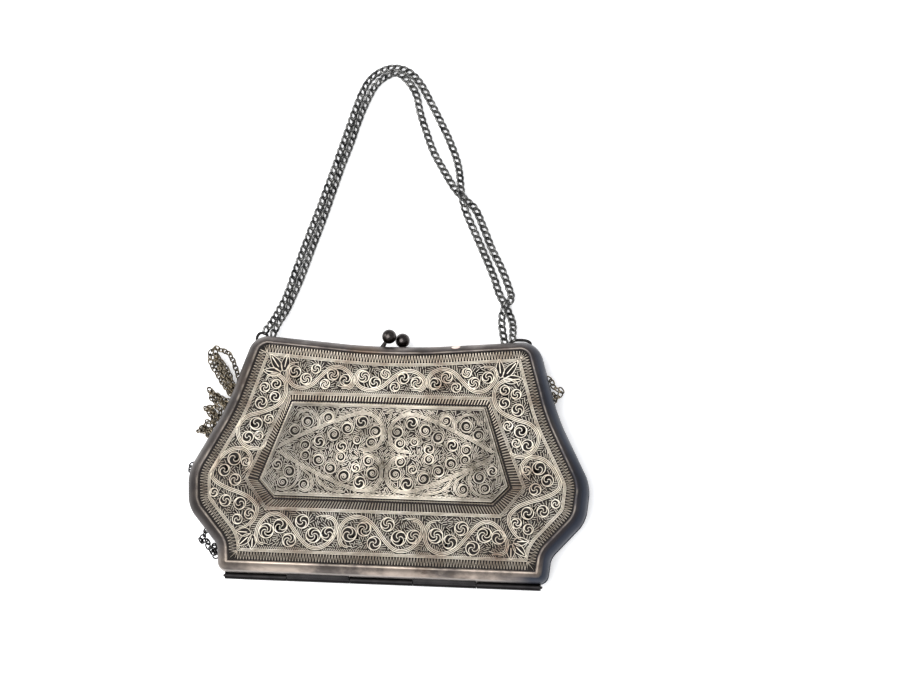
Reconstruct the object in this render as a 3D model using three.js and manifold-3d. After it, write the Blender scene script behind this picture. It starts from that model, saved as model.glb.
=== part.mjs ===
// Silver filigree purse lying on its back: two shallow half shells on a bottom hinge,
// a pair of kissing ball knobs at the top, a doubled curb chain handle and fine stay chains.
// Millimetres. x runs along the hinge, y from the hinge to the knobs, z up from the table.
import * as THREE from 'three';
import { mergeVertices } from 'three/addons/utils/BufferGeometryUtils.js';
import Module from 'manifold-3d';

// Heights of one half, measured outwards from the plane midway between the halves
const PARTING_EDGE = 1.1;
const LEDGE_TOP = 6.2;
const PANEL_BACK = 6.5;
const PANEL_FACE = 7.5;
const RAIL_TOP = 7.9;
const PLAQUE_FOOT = 7.8;
const PLAQUE_BACK = 8.9;
const PLAQUE_FACE = 9.9;

// Corners of one half's outer edge, right side from the hinge up to the middle of the top
const EDGE_CORNERS = [
  { name: 'hinge corner', x: 66.0, y: 0.0, radius: 3.8, steps: 3 },
  { name: 'waist', x: 67.0, y: 10.6, radius: 6.0, steps: 2 },
  { name: 'lower bulge', x: 80.0, y: 25.3, radius: 12.0, steps: 4 },
  { name: 'upper bulge', x: 81.2, y: 40.0, radius: 16.0, steps: 4 },
  { name: 'shoulder', x: 67.3, y: 66.6, radius: 70.0, steps: 3 },
  { name: 'top corner', x: 57.8, y: 97.0, radius: 8.0, steps: 4 },
  { name: 'top dip', x: 0.0, y: 92.4, radius: 250.0, steps: 4 },
];
const SHARPEST_CORNER = 0.2;

// Section of the sheet-silver rim: up the sloping wall, over the bead, down to the ledge and back inside
const RIM_SECTION = [
  { inset: 0.0, rise: PARTING_EDGE },
  { inset: 0.2, rise: 3.0 },
  { inset: 0.9, rise: 5.1 },
  { inset: 1.9, rise: 6.8 },
  { inset: 2.9, rise: 7.8 },
  { inset: 3.5, rise: 8.1 },
  { inset: 4.1, rise: 7.8 },
  { inset: 4.1, rise: LEDGE_TOP },
  { inset: 6.0, rise: LEDGE_TOP },
  { inset: 6.0, rise: 5.2 },
  { inset: 2.2, rise: 5.2 },
  { inset: 1.3, rise: 3.0 },
  { inset: 1.1, rise: PARTING_EDGE },
];
const PANEL_INSET = 4.4;

// Raised wire rails that bound the scroll band: one follows the edge, one is six-sided
const OUTER_RAIL_INSET = 7.8;
const RAIL_WIDTH = 1.0;
const RAIL_ROOT = 0.4;
const INNER_RAIL_CORNERS = [
  { name: 'side', x: 56.6, y: 36.8 },
  { name: 'top', x: 40.4, y: 72.7 },
];
const INNER_RAIL_BOTTOM = { x: 47.4, y: 24.8 };

// Six-sided plaque that stands on the middle of each panel
const PLAQUE_CORNERS = [
  { name: 'side', x: 49.6, y: 36.9 },
  { name: 'top', x: 38.7, y: 68.0 },
];
const PLAQUE_BOTTOM = { x: 43.6, y: 30.5 };
const PLAQUE_WALL = 1.0;
const JOIN_OVERLAP = 0.01;
const SIX_SIDED_RADIUS = 0.6;
const PLAQUE_MIDDLE_Y = (PLAQUE_CORNERS[1].y + PLAQUE_BOTTOM.y) / 2;

// Lobes of the scroll band, right side from the middle of the top round to the middle of the bottom
const SCROLL_LOBES = [
  { x: 7.9, y: 78.2, lean: 20 },
  { x: 21.5, y: 78.6, lean: 160 },
  { x: 37.0, y: 80.2, lean: 35 },
  { x: 48.3, y: 72.9, lean: 70 },
  { x: 54.0, y: 57.0, lean: 130 },
  { x: 61.7, y: 42.0, lean: 60 },
  { x: 59.0, y: 26.2, lean: 140 },
  { x: 43.2, y: 16.3, lean: 25 },
  { x: 26.0, y: 16.3, lean: 155 },
  { x: 8.6, y: 16.3, lean: 25 },
];
const LOBE_GAP = { length: 5.6, width: 2.8, apart: 4.6 };

// Rows of openings cut through each plaque, mirrored left to right
const PLAQUE_GAP_ROWS = [
  { y: 61.6, xs: [8.0, 20.0, 32.0] },
  { y: 49.3, xs: [13.0, 25.0, 37.0] },
  { y: 37.0, xs: [8.0, 21.0, 34.0] },
];
const PLAQUE_GAP = { length: 6.0, width: 3.6, lean: 35 };
const GAP_SIDES = 6;

// Hinge below the bottom edge: knuckles alternate between the halves round one loose pin
const HINGE_LENGTH = 127.0;
const KNUCKLES = 5;
const KNUCKLE_GAP = 0.3;
const BARREL_RADIUS = 1.35;
const BARREL_SIDES = 10;
const BORE_RADIUS = 0.8;
const BORE_SIDES = 8;
const HINGE_AXIS_Y = -1.2;
const PIN_RADIUS = 0.5;
const PIN_LENGTH = 128.2;
const TAB = { low: 0.98, high: 2.3, innerY: 0.7 };

// Ball knobs: each stands on its own half's top edge and leans past the other
const BALL_RADIUS = 2.95;
const STEM_RADIUS = 0.8;
const NECK_RADIUS = 0.65;
const BALL_SIDES = 12;
const BALL_BANDS = 7;
const KNOBS = [
  { name: 'front_clasp_ball', foot: [-4.4, 93.8, 12.6], ball: [-2.4, 97.4, 12.6] },
  { name: 'back_clasp_ball', foot: [3.2, 93.75, 7.2], ball: [2.5, 96.7, 8.6] },
];

// Wire eyes on the back half's top edge that hold the handle
const EYES = [
  { name: 'left', x: -55.8, span: 4.4, rise: 3.0, edgeY: 95.6 },
  { name: 'right', x: 50.2, span: 8.0, rise: 1.9, edgeY: 96.4 },
];
const EYE_WIRE = 0.6;
const EYE_LEVEL = 2.9;
const EYE_ROOT = 0.6;

// Handle chains, each drawn as the tube that its links fill, from the left eye over the top to the right eye
const HANDLE_TUBE = { radius: 1.2, sides: 8, steps: 34 };
const HANDLE_ROUTES = {
  handle_chain_outer: [
    [-54.6, 100.0, 6.6], [-53.0, 104.2, 5.0], [-51.3, 109.4, 2.5], [-49.2, 115.0, 1.4], [-46.4, 124.0, 1.3],
    [-42.0, 139.0, 1.3], [-38.0, 151.5, 1.3], [-34.2, 164.0, 1.3], [-30.0, 178.5, 1.3], [-26.7, 190.3, 1.3],
    [-23.2, 201.5, 1.4], [-19.9, 208.8, 1.5], [-15.2, 213.4, 1.7], [-9.2, 215.4, 1.9], [-3.0, 213.4, 1.9],
    [2.3, 207.8, 1.6], [6.5, 200.6, 1.4], [12.0, 190.7, 1.3], [16.7, 181.4, 1.3], [20.0, 173.0, 1.5],
    [21.5, 166.5, 3.0], [22.6, 160.0, 4.2], [24.2, 153.4, 3.1], [28.3, 144.5, 1.4], [33.0, 134.8, 1.3],
    [37.4, 125.2, 1.3], [39.7, 119.0, 1.3], [42.8, 113.4, 1.5], [45.4, 108.4, 2.4], [46.7, 104.2, 4.4],
    [47.0, 99.4, 6.6],
  ],
  handle_chain_inner: [
    [-51.4, 98.6, 6.6], [-50.2, 103.6, 5.0], [-48.0, 109.2, 2.5], [-45.4, 115.0, 1.4], [-41.4, 125.0, 1.3],
    [-38.0, 136.5, 1.3], [-34.3, 148.4, 1.3], [-31.0, 160.3, 1.3], [-27.7, 172.0, 1.3], [-24.6, 181.8, 1.3],
    [-21.9, 192.0, 1.3], [-19.0, 200.6, 1.3], [-16.0, 207.0, 1.3], [-11.6, 210.8, 1.3], [-7.2, 211.8, 1.3],
    [-2.7, 208.2, 1.3], [0.7, 203.0, 1.3], [3.0, 194.9, 1.3], [6.1, 186.4, 1.3], [9.6, 178.0, 1.3],
    [14.2, 170.3, 1.3], [19.2, 162.6, 1.3], [23.6, 158.2, 1.3], [28.2, 154.0, 1.3], [32.0, 146.3, 1.3],
    [36.0, 137.3, 1.3], [40.4, 129.0, 1.3], [43.8, 121.0, 1.6], [45.2, 116.3, 3.2], [43.2, 112.9, 4.4],
    [42.0, 108.2, 4.9], [42.5, 103.0, 5.8], [43.8, 97.6, 6.6],
  ],
};

// Stay chains caught between the halves: out of the gap, down towards the table and back in
const STAY_TUBE = { radius: 0.8, sides: 8 };
const STAY_ROUTES = {
  stay_chain_left_1: {
    steps: 13,
    points: [
      [-60.4, 79.8, 9.9], [-63.6, 80.9, 9.9], [-66.6, 84.9, 8.0], [-69.6, 89.6, 4.6], [-74.4, 92.9, 1.8],
      [-78.4, 90.8, 1.0], [-77.6, 85.8, 1.1], [-74.6, 81.6, 2.6], [-71.2, 77.6, 5.8], [-67.9, 74.6, 9.3],
      [-65.2, 73.3, 9.9], [-62.2, 72.4, 9.9],
    ],
  },
  stay_chain_left_2: {
    steps: 11,
    points: [
      [-61.8, 78.0, 9.9], [-64.6, 78.6, 9.9], [-68.6, 81.3, 9.2], [-72.4, 85.1, 6.6], [-75.6, 88.3, 3.9],
      [-76.3, 86.0, 3.8], [-73.4, 82.2, 5.3], [-70.2, 79.0, 8.1], [-67.4, 76.9, 9.7], [-64.8, 75.9, 9.9],
      [-62.0, 75.2, 9.9],
    ],
  },
  stay_chain_left_3: {
    steps: 9,
    points: [
      [-63.6, 70.5, 9.9], [-66.8, 71.1, 9.9], [-70.4, 72.6, 8.4], [-74.6, 74.6, 5.2], [-77.4, 74.3, 3.6],
      [-76.2, 71.4, 3.2], [-72.4, 69.8, 6.0], [-69.4, 68.8, 9.3], [-66.8, 68.3, 9.9], [-64.2, 67.9, 9.9],
    ],
  },
  stay_chain_left_4: {
    steps: 8,
    points: [
      [-66.2, 65.5, 9.9], [-68.9, 66.0, 9.9], [-72.6, 67.2, 8.6], [-76.6, 67.7, 5.2], [-78.0, 66.0, 3.8],
      [-75.6, 63.6, 4.8], [-72.8, 62.9, 8.7], [-70.4, 62.7, 9.9], [-67.8, 62.2, 9.9],
    ],
  },
  stay_chain_left_5: {
    steps: 8,
    points: [
      [-69.2, 59.6, 9.9], [-71.8, 60.1, 9.9], [-75.4, 61.0, 8.2], [-79.2, 60.4, 4.6], [-80.5, 58.4, 3.8],
      [-77.8, 57.0, 5.8], [-75.2, 56.4, 9.3], [-73.0, 56.2, 9.9], [-70.6, 55.7, 9.9],
    ],
  },
  stay_chain_left_6: {
    steps: 5,
    points: [
      [-76.6, 45.8, 9.9], [-79.2, 45.6, 9.9], [-81.7, 44.6, 9.2], [-82.2, 42.6, 8.7], [-81.2, 40.9, 9.7],
      [-79.0, 40.4, 9.9], [-76.6, 40.2, 9.9],
    ],
  },
  stay_chain_left_7: {
    steps: 6,
    points: [
      [-69.4, 19.6, 9.9], [-72.4, 17.8, 9.9], [-75.0, 15.8, 8.4], [-75.2, 12.9, 7.0], [-72.4, 11.1, 8.4],
      [-70.0, 11.6, 9.8], [-66.8, 12.8, 9.9],
    ],
  },
  stay_chain_right_1: {
    steps: 7,
    points: [
      [59.6, 81.4, 9.9], [62.8, 82.2, 9.9], [65.8, 81.4, 9.0], [68.3, 79.2, 7.0], [68.2, 76.6, 6.6],
      [67.2, 74.8, 8.9], [65.0, 74.0, 9.9], [62.0, 73.4, 9.9],
    ],
  },
};

const FINISHES = {
  rim: { color: 0x6e6866, roughness: 0.42, metalness: 1.0 },
  filigree: { color: 0xa89f8c, roughness: 0.38, metalness: 1.0 },
  plaque: { color: 0xa3a08b, roughness: 0.36, metalness: 1.0 },
  steel: { color: 0x3c3c42, roughness: 0.34, metalness: 1.0 },
  chain: { color: 0x565654, roughness: 0.4, metalness: 1.0 },
};

const wasm = await Module();
wasm.setup();

// A closed geometry as a solid that can be joined and cut
function solidOf(geometry) {
  const bare = geometry.clone();
  bare.deleteAttribute('normal');
  bare.deleteAttribute('uv');
  const merged = mergeVertices(bare, 1e-4);
  return new wasm.Manifold(new wasm.Mesh({
    numProp: 3,
    vertProperties: new Float32Array(merged.attributes.position.array),
    triVerts: new Uint32Array(merged.index.array),
  }));
}

// All the solids of a list joined into one geometry
function joined(geometries) {
  const whole = geometries.map(solidOf).reduce((sum, next) => sum.add(next));
  const mesh = whole.getMesh();
  const geometry = new THREE.BufferGeometry();
  geometry.setAttribute('position', new THREE.BufferAttribute(new Float32Array(mesh.vertProperties), 3));
  geometry.setIndex(new THREE.BufferAttribute(new Uint32Array(mesh.triVerts), 1));
  geometry.computeVertexNormals();
  return geometry;
}

function mirroredCorners(right) {
  const left = right.filter((corner) => corner.x > 0).reverse().map((corner) => ({ ...corner, x: -corner.x }));
  return [...right, ...left];
}

// A polygon moved inwards by inset, with each corner rounded in the same number of steps at any inset
function roundedPolygon(corners, inset) {
  const count = corners.length;
  const points = corners.map((corner) => new THREE.Vector2(corner.x, corner.y));
  const inward = points.map((point, i) => {
    const along = points[(i + 1) % count].clone().sub(point).normalize();
    return new THREE.Vector2(-along.y, along.x);
  });
  const moved = points.map((point, i) => {
    const before = inward[(i + count - 1) % count];
    const after = inward[i];
    const shift = inset / (1 + before.dot(after));
    return point.clone().addScaledVector(before, shift).addScaledVector(after, shift);
  });
  const ring = [];
  corners.forEach((corner, i) => {
    const here = moved[i];
    const back = moved[(i + count - 1) % count].clone().sub(here).normalize();
    const ahead = moved[(i + 1) % count].clone().sub(here).normalize();
    const convex = back.cross(ahead) < 0;
    const radius = convex ? Math.max(corner.radius - inset, SHARPEST_CORNER) : corner.radius + inset;
    const halfAngle = Math.acos(THREE.MathUtils.clamp(back.dot(ahead), -1, 1)) / 2;
    const centre = here.clone().addScaledVector(back.clone().add(ahead).normalize(), radius / Math.sin(halfAngle));
    const reach = radius / Math.tan(halfAngle);
    const start = here.clone().addScaledVector(back, reach).sub(centre).angle();
    const end = here.clone().addScaledVector(ahead, reach).sub(centre).angle();
    const turn = THREE.MathUtils.euclideanModulo(end - start + Math.PI, 2 * Math.PI) - Math.PI;
    for (let step = 0; step <= corner.steps; step += 1) {
      const angle = start + (turn * step) / corner.steps;
      ring.push(new THREE.Vector2(Math.cos(angle), Math.sin(angle)).multiplyScalar(radius).add(centre));
    }
  });
  return ring;
}

function edgeRing(inset) {
  return roundedPolygon(mirroredCorners(EDGE_CORNERS), inset);
}

function sixSidedRing(sideAndTop, bottom, inset) {
  const right = [bottom, ...sideAndTop].map((corner) => ({ ...corner, radius: SIX_SIDED_RADIUS, steps: 1 }));
  return roundedPolygon(mirroredCorners(right), inset);
}

// A closed section carried round a closed ring
function sweptRing(section, ringAt) {
  const loops = section.map((row) => ringAt(row.inset).map((point) => [point.x, point.y, row.rise]));
  const around = loops[0].length;
  const index = [];
  loops.forEach((loop, j) => {
    const next = (j + 1) % loops.length;
    for (let i = 0; i < around; i += 1) {
      const k = (i + 1) % around;
      index.push(j * around + i, j * around + k, next * around + k);
      index.push(j * around + i, next * around + k, next * around + i);
    }
  });
  const geometry = new THREE.BufferGeometry();
  geometry.setAttribute('position', new THREE.Float32BufferAttribute(loops.flat(2), 3));
  geometry.setIndex(index);
  geometry.computeVertexNormals();
  return geometry;
}

function railSection(inset) {
  return [
    { inset, rise: PANEL_FACE - RAIL_ROOT },
    { inset, rise: RAIL_TOP },
    { inset: inset + RAIL_WIDTH, rise: RAIL_TOP },
    { inset: inset + RAIL_WIDTH, rise: PANEL_FACE - RAIL_ROOT },
  ];
}

function plate(outer, holes, low, high) {
  const shape = new THREE.Shape(outer);
  shape.holes = holes.map((points) => new THREE.Path(points));
  const geometry = new THREE.ExtrudeGeometry(shape, { depth: high - low, bevelEnabled: false, curveSegments: 1 });
  return geometry.translate(0, 0, low);
}

function regularPoints(radius, sides) {
  const points = [];
  for (let i = 0; i < sides; i += 1) {
    const angle = (2 * Math.PI * (i + 0.5)) / sides;
    points.push(new THREE.Vector2(radius * Math.cos(angle), radius * Math.sin(angle)));
  }
  return points;
}

// A long six-cornered opening turned by lean degrees
function gapPoints(x, y, length, width, lean) {
  const turn = THREE.MathUtils.degToRad(lean);
  return regularPoints(1, GAP_SIDES).map((point) => {
    const stretched = new THREE.Vector2((point.x * length) / 2, (point.y * width) / 2);
    return stretched.rotateAround(new THREE.Vector2(), turn).add(new THREE.Vector2(x, y));
  });
}

// Two openings side by side in each lobe of the scroll band
function scrollGaps() {
  return SCROLL_LOBES.flatMap((lobe) => [1, -1].flatMap((side) => {
    const lean = side > 0 ? lobe.lean : 180 - lobe.lean;
    const across = THREE.MathUtils.degToRad(lean + 90);
    return [-0.5, 0.5].map((place) => gapPoints(
      side * lobe.x + place * LOBE_GAP.apart * Math.cos(across),
      lobe.y + place * LOBE_GAP.apart * Math.sin(across),
      LOBE_GAP.length,
      LOBE_GAP.width,
      lean,
    ));
  }));
}

function plaqueGaps() {
  return PLAQUE_GAP_ROWS.flatMap((row) => row.xs.flatMap((x) => [1, -1].map((side) => gapPoints(
    side * x,
    row.y,
    PLAQUE_GAP.length,
    PLAQUE_GAP.width,
    side > 0 ? PLAQUE_GAP.lean : 180 - PLAQUE_GAP.lean,
  ))));
}

// One panel: pierced plate with the two wire rails soldered on
function panelGeometry() {
  const sheet = plate(edgeRing(PANEL_INSET), scrollGaps(), PANEL_BACK, PANEL_FACE);
  const outerRail = sweptRing(railSection(OUTER_RAIL_INSET), edgeRing);
  const innerRail = sweptRing(
    railSection(0),
    (inset) => sixSidedRing(INNER_RAIL_CORNERS, INNER_RAIL_BOTTOM, inset),
  );
  return joined([sheet, outerRail, innerRail]);
}

// One plaque: pierced top plate on an upright gallery wall, open below
function plaqueGeometry() {
  const edge = sixSidedRing(PLAQUE_CORNERS, PLAQUE_BOTTOM, 0);
  const inside = sixSidedRing(PLAQUE_CORNERS, PLAQUE_BOTTOM, PLAQUE_WALL);
  const top = plate(edge, plaqueGaps(), PLAQUE_BACK, PLAQUE_FACE);
  const wall = plate(edge, [inside], PLAQUE_FOOT, PLAQUE_BACK + JOIN_OVERLAP);
  return joined([top, wall]);
}

// Knuckles of one half: every other one along the hinge, each with the tab that joins it to the rim
function knuckles(first) {
  const pitch = HINGE_LENGTH / KNUCKLES;
  const length = pitch - KNUCKLE_GAP;
  const parts = [];
  for (let i = first; i < KNUCKLES; i += 2) {
    const start = -HINGE_LENGTH / 2 + i * pitch + KNUCKLE_GAP / 2;
    const barrel = plate(regularPoints(BARREL_RADIUS, BARREL_SIDES), [regularPoints(BORE_RADIUS, BORE_SIDES)], 0, length);
    barrel.rotateY(Math.PI / 2).translate(start, HINGE_AXIS_Y, 0);
    const tabDepth = TAB.innerY - HINGE_AXIS_Y;
    const tab = new THREE.BoxGeometry(length, tabDepth, TAB.high - TAB.low);
    tab.translate(start + length / 2, HINGE_AXIS_Y + tabDepth / 2, (TAB.high + TAB.low) / 2);
    parts.push(barrel, tab);
  }
  return parts;
}

function tubeAlong(points, radius, sides, steps) {
  const curve = new THREE.CatmullRomCurve3(points.map((point) => new THREE.Vector3(...point)), false, 'centripetal');
  const section = new THREE.Shape(regularPoints(radius, sides));
  return new THREE.ExtrudeGeometry(section, { steps, extrudePath: curve, curveSegments: 1, bevelEnabled: false });
}

// Wire eye in the back half's own frame, whose x runs the other way
function eyeGeometry(eye) {
  const half = eye.span / 2;
  const points = [
    [-eye.x - half, eye.edgeY - EYE_ROOT, EYE_LEVEL],
    [-eye.x - half, eye.edgeY + eye.rise * 0.5, EYE_LEVEL],
    [-eye.x - half * 0.45, eye.edgeY + eye.rise, EYE_LEVEL],
    [-eye.x + half * 0.45, eye.edgeY + eye.rise, EYE_LEVEL],
    [-eye.x + half, eye.edgeY + eye.rise * 0.5, EYE_LEVEL],
    [-eye.x + half, eye.edgeY - EYE_ROOT, EYE_LEVEL],
  ];
  return tubeAlong(points, EYE_WIRE, 6, 9);
}

// Turned knob: a stem that narrows to a neck under the ball, standing along +y from its foot
function knobGeometry(length) {
  const profile = [new THREE.Vector2(0, 0), new THREE.Vector2(STEM_RADIUS, 0)];
  const neckAngle = Math.asin(NECK_RADIUS / BALL_RADIUS);
  for (let band = 0; band <= BALL_BANDS; band += 1) {
    const angle = neckAngle + ((Math.PI - neckAngle) * band) / BALL_BANDS;
    const across = band === BALL_BANDS ? 0 : BALL_RADIUS * Math.sin(angle);
    profile.push(new THREE.Vector2(across, length - BALL_RADIUS * Math.cos(angle)));
  }
  return new THREE.LatheGeometry(profile, BALL_SIDES);
}

function piece(name, geometry, finish) {
  const mesh = new THREE.Mesh(geometry, new THREE.MeshStandardMaterial(FINISHES[finish]));
  mesh.name = name;
  return mesh;
}

const purse = new THREE.Group();
const middle = PLAQUE_FACE;

const frontHalf = new THREE.Group();
frontHalf.position.z = middle;
frontHalf.add(piece('front_frame', joined([sweptRing(RIM_SECTION, edgeRing), ...knuckles(1)]), 'rim'));
frontHalf.add(piece('front_panel', panelGeometry(), 'filigree'));
frontHalf.add(piece('front_plaque', plaqueGeometry(), 'plaque'));
purse.add(frontHalf);

const backHalf = new THREE.Group();
backHalf.position.z = middle;
backHalf.rotation.y = Math.PI;
const backRim = [sweptRing(RIM_SECTION, edgeRing), ...knuckles(0), ...EYES.map(eyeGeometry)];
backHalf.add(piece('back_frame', joined(backRim), 'rim'));
backHalf.add(piece('back_panel', panelGeometry(), 'filigree'));
backHalf.add(piece('back_plaque', plaqueGeometry(), 'plaque'));
purse.add(backHalf);

const pin = piece('hinge_pin', new THREE.CylinderGeometry(PIN_RADIUS, PIN_RADIUS, PIN_LENGTH, 8), 'steel');
pin.rotation.z = Math.PI / 2;
pin.position.set(0, HINGE_AXIS_Y, middle);
purse.add(pin);

KNOBS.forEach((knob) => {
  const foot = new THREE.Vector3(...knob.foot);
  const lean = new THREE.Vector3(...knob.ball).sub(foot);
  const ball = piece(knob.name, knobGeometry(lean.length()), 'steel');
  ball.position.copy(foot);
  ball.quaternion.setFromUnitVectors(new THREE.Vector3(0, 1, 0), lean.normalize());
  purse.add(ball);
});

Object.entries(HANDLE_ROUTES).forEach(([name, points]) => {
  purse.add(piece(name, tubeAlong(points, HANDLE_TUBE.radius, HANDLE_TUBE.sides, HANDLE_TUBE.steps), 'chain'));
});

Object.entries(STAY_ROUTES).forEach(([name, route]) => {
  purse.add(piece(name, tubeAlong(route.points, STAY_TUBE.radius, STAY_TUBE.sides, route.steps), 'chain'));
});

// The origin is the middle of the back plaque's face, which lies on the table
purse.position.y = -PLAQUE_MIDDLE_Y;

export default purse;
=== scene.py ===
import math
import bpy
import numpy as np
from mathutils import Matrix, Vector


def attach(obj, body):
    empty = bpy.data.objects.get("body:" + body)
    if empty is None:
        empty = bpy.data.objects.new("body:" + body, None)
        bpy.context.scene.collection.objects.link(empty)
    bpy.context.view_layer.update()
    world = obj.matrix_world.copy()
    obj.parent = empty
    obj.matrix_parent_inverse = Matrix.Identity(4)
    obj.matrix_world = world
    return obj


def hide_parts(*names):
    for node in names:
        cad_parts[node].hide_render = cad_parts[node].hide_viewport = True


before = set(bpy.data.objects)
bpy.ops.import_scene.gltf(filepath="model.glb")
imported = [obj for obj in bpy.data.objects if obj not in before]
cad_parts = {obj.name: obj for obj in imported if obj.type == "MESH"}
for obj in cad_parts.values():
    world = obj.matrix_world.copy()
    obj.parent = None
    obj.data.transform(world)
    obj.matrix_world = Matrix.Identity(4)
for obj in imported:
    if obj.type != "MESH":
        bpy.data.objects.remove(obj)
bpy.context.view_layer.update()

# Viewpoint, floor and light
# The purse lies on a plain white table and is seen from nearly straight above, from a little to the right of
# it and from the hinge side. A large soft box hangs over the table and a smaller one stands to its left, in a
# pale room.
MM = 0.001
PLAQUE_MIDDLE_Y = 49.25
PHOTO_WIDTH = 900.0
PHOTO_HEIGHT = 675.0
SENSOR_MM = 36.0
LENS_MM = 100.0
AIM_MM = (0.0, 46.0, 11.0)
AIM_PIXEL = (388.1, 463.3)
EYE_DISTANCE_MM = 1000.0
EYE_RIGHT_DEG = 9.9
EYE_BELOW_DEG = 9.0
CAMERA_ROLL_DEG = 3.42
# The table and the lights are given in metres, and the purse in mm
TABLE_WIDTH = 6.0
TABLE_TOP = -0.0002
ROOM_COLOUR = "#EEF1F6"
ROOM_STRENGTH = 0.55
SOFT_BOXES = [
    {"name": "soft_box_over", "at": (-0.35, -0.25, 1.7), "size": 1.5, "watts": 36.0},
    {"name": "soft_box_left", "at": (-1.6, 0.5, 1.1), "size": 0.9, "watts": 9.0},
]


def placed(x, y, z):
    """A point of the frame in metres, from mm with y measured from the rims' edge at the hinge."""
    return Vector((x, y - PLAQUE_MIDDLE_Y, z)) * MM


def linear_colour(hex_code):
    parts = [int(hex_code[i:i + 2], 16) / 255.0 for i in (1, 3, 5)]
    return tuple(c / 12.92 if c <= 0.04045 else ((c + 0.055) / 1.055) ** 2.4 for c in parts) + (1.0,)


def set_sockets(material, node, sockets):
    """Fill a node's inputs: another node's socket is linked, and anything else is set as the value."""
    for name, value in sockets.items():
        if isinstance(value, bpy.types.NodeSocket):
            material.node_tree.links.new(value, node.inputs[name])
        else:
            node.inputs[name].default_value = value


def add_node(material, kind, sockets=None, stops=(), **settings):
    """Add a node with its settings and links; stops are the places and colours of a ramp."""
    made = material.node_tree.nodes.new(kind)
    for name, value in settings.items():
        setattr(made, name, value)
    set_sockets(material, made, sockets or {})
    for place, _ in stops[2:]:
        made.color_ramp.elements.new(place)
    for i, (place, colour) in enumerate(stops):
        made.color_ramp.elements[i].position = place
        made.color_ramp.elements[i].color = linear_colour(colour)
    return made


def new_material(name):
    material = bpy.data.materials.new(name)
    material.use_nodes = True
    material.node_tree.nodes.clear()
    return material


def mottled(material, patch_mm, detail, roughness, dark, light):
    """Mottle a material between two colours, in patches of this width; gives the patches and the colour."""
    patches = add_node(material, "ShaderNodeTexNoise", {
        "Vector": add_node(material, "ShaderNodeTexCoord").outputs["Object"],
        "Scale": 1.0 / (patch_mm * MM), "Detail": detail, "Roughness": roughness,
    }).outputs["Fac"]
    colour = add_node(material, "ShaderNodeMix", {
        "Factor": patches, "A": linear_colour(dark), "B": linear_colour(light),
    }, data_type="RGBA")
    return patches, colour.outputs["Result"]


def finish_material(material, shader):
    add_node(material, "ShaderNodeOutputMaterial", {"Surface": shader.outputs["BSDF"]})


to_eye = Vector((
    math.tan(math.radians(EYE_RIGHT_DEG)), -math.tan(math.radians(EYE_BELOW_DEG)), 1.0,
)).normalized()
pixel_focal = LENS_MM / SENSOR_MM * PHOTO_WIDTH
aim_ray = Vector((
    (AIM_PIXEL[0] - PHOTO_WIDTH / 2) / pixel_focal, -(AIM_PIXEL[1] - PHOTO_HEIGHT / 2) / pixel_focal, -1.0,
)).normalized()
ahead = Vector((0.0, 0.0, -1.0))
swing = ahead.rotation_difference(aim_ray).to_matrix()
roll = Matrix.Rotation(math.radians(CAMERA_ROLL_DEG), 3, ahead)
across = Vector((0.0, 1.0, 0.0)).cross(to_eye).normalized()
facing = Matrix((across, to_eye.cross(across), to_eye))
turn = (swing @ roll @ facing).transposed()
camera_data = bpy.data.cameras.new("photo_camera")
camera_data.lens = LENS_MM
camera_data.sensor_width = SENSOR_MM
camera_data.clip_start = 0.01
camera = bpy.data.objects.new("photo_camera", camera_data)
camera.matrix_world = Matrix.Translation(placed(*AIM_MM) + to_eye * EYE_DISTANCE_MM * MM) @ turn.to_4x4()
bpy.context.collection.objects.link(camera)
bpy.context.scene.camera = camera
bpy.context.scene.view_settings.view_transform = "Standard"

# White painted board: even and matt, made almost shadowless by a painted glow of its own
white_board = new_material("white painted board")
_, board_colour = mottled(
    white_board, patch_mm=100.0, detail=3.0, roughness=0.5, dark="#F6F6F7", light="#FBFBFB")
# Painted shade: ambient occlusion cuts the glow out where the purse itself covers the board, so it is dark
# there
board_open = add_node(white_board, "ShaderNodeAmbientOcclusion", {"Distance": 0.02}, samples=8)
board_glow = add_node(white_board, "ShaderNodeMapRange", {
    "Value": board_open.outputs["AO"], "From Min": 0.08, "From Max": 0.3, "To Min": 0.0, "To Max": 0.4,
})
finish_material(white_board, add_node(white_board, "ShaderNodeBsdfPrincipled", {
    "Base Color": board_colour, "Roughness": 0.7,
    "Emission Color": linear_colour("#FFFFFF"), "Emission Strength": board_glow.outputs["Result"],
}))
bpy.ops.object.select_all(action="DESELECT")
bpy.ops.mesh.primitive_plane_add(size=TABLE_WIDTH, location=(0.0, 0.0, TABLE_TOP))
table = bpy.context.object
table.name = "table"
table.data.materials.append(white_board)

pale_room = bpy.data.worlds.new("pale room")
pale_room.use_nodes = True
room_light = pale_room.node_tree.nodes["Background"]
room_light.inputs["Color"].default_value = linear_colour(ROOM_COLOUR)
room_light.inputs["Strength"].default_value = ROOM_STRENGTH
bpy.context.scene.world = pale_room
for box in SOFT_BOXES:
    lamp = bpy.data.lights.new(box["name"], "AREA")
    lamp.shape = "SQUARE"
    lamp.size = box["size"]
    lamp.energy = box["watts"]
    light = bpy.data.objects.new(box["name"], lamp)
    light.location = box["at"]
    light.rotation_euler = (-Vector(box["at"])).to_track_quat("-Z", "Y").to_euler()
    bpy.context.collection.objects.link(light)

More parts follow.
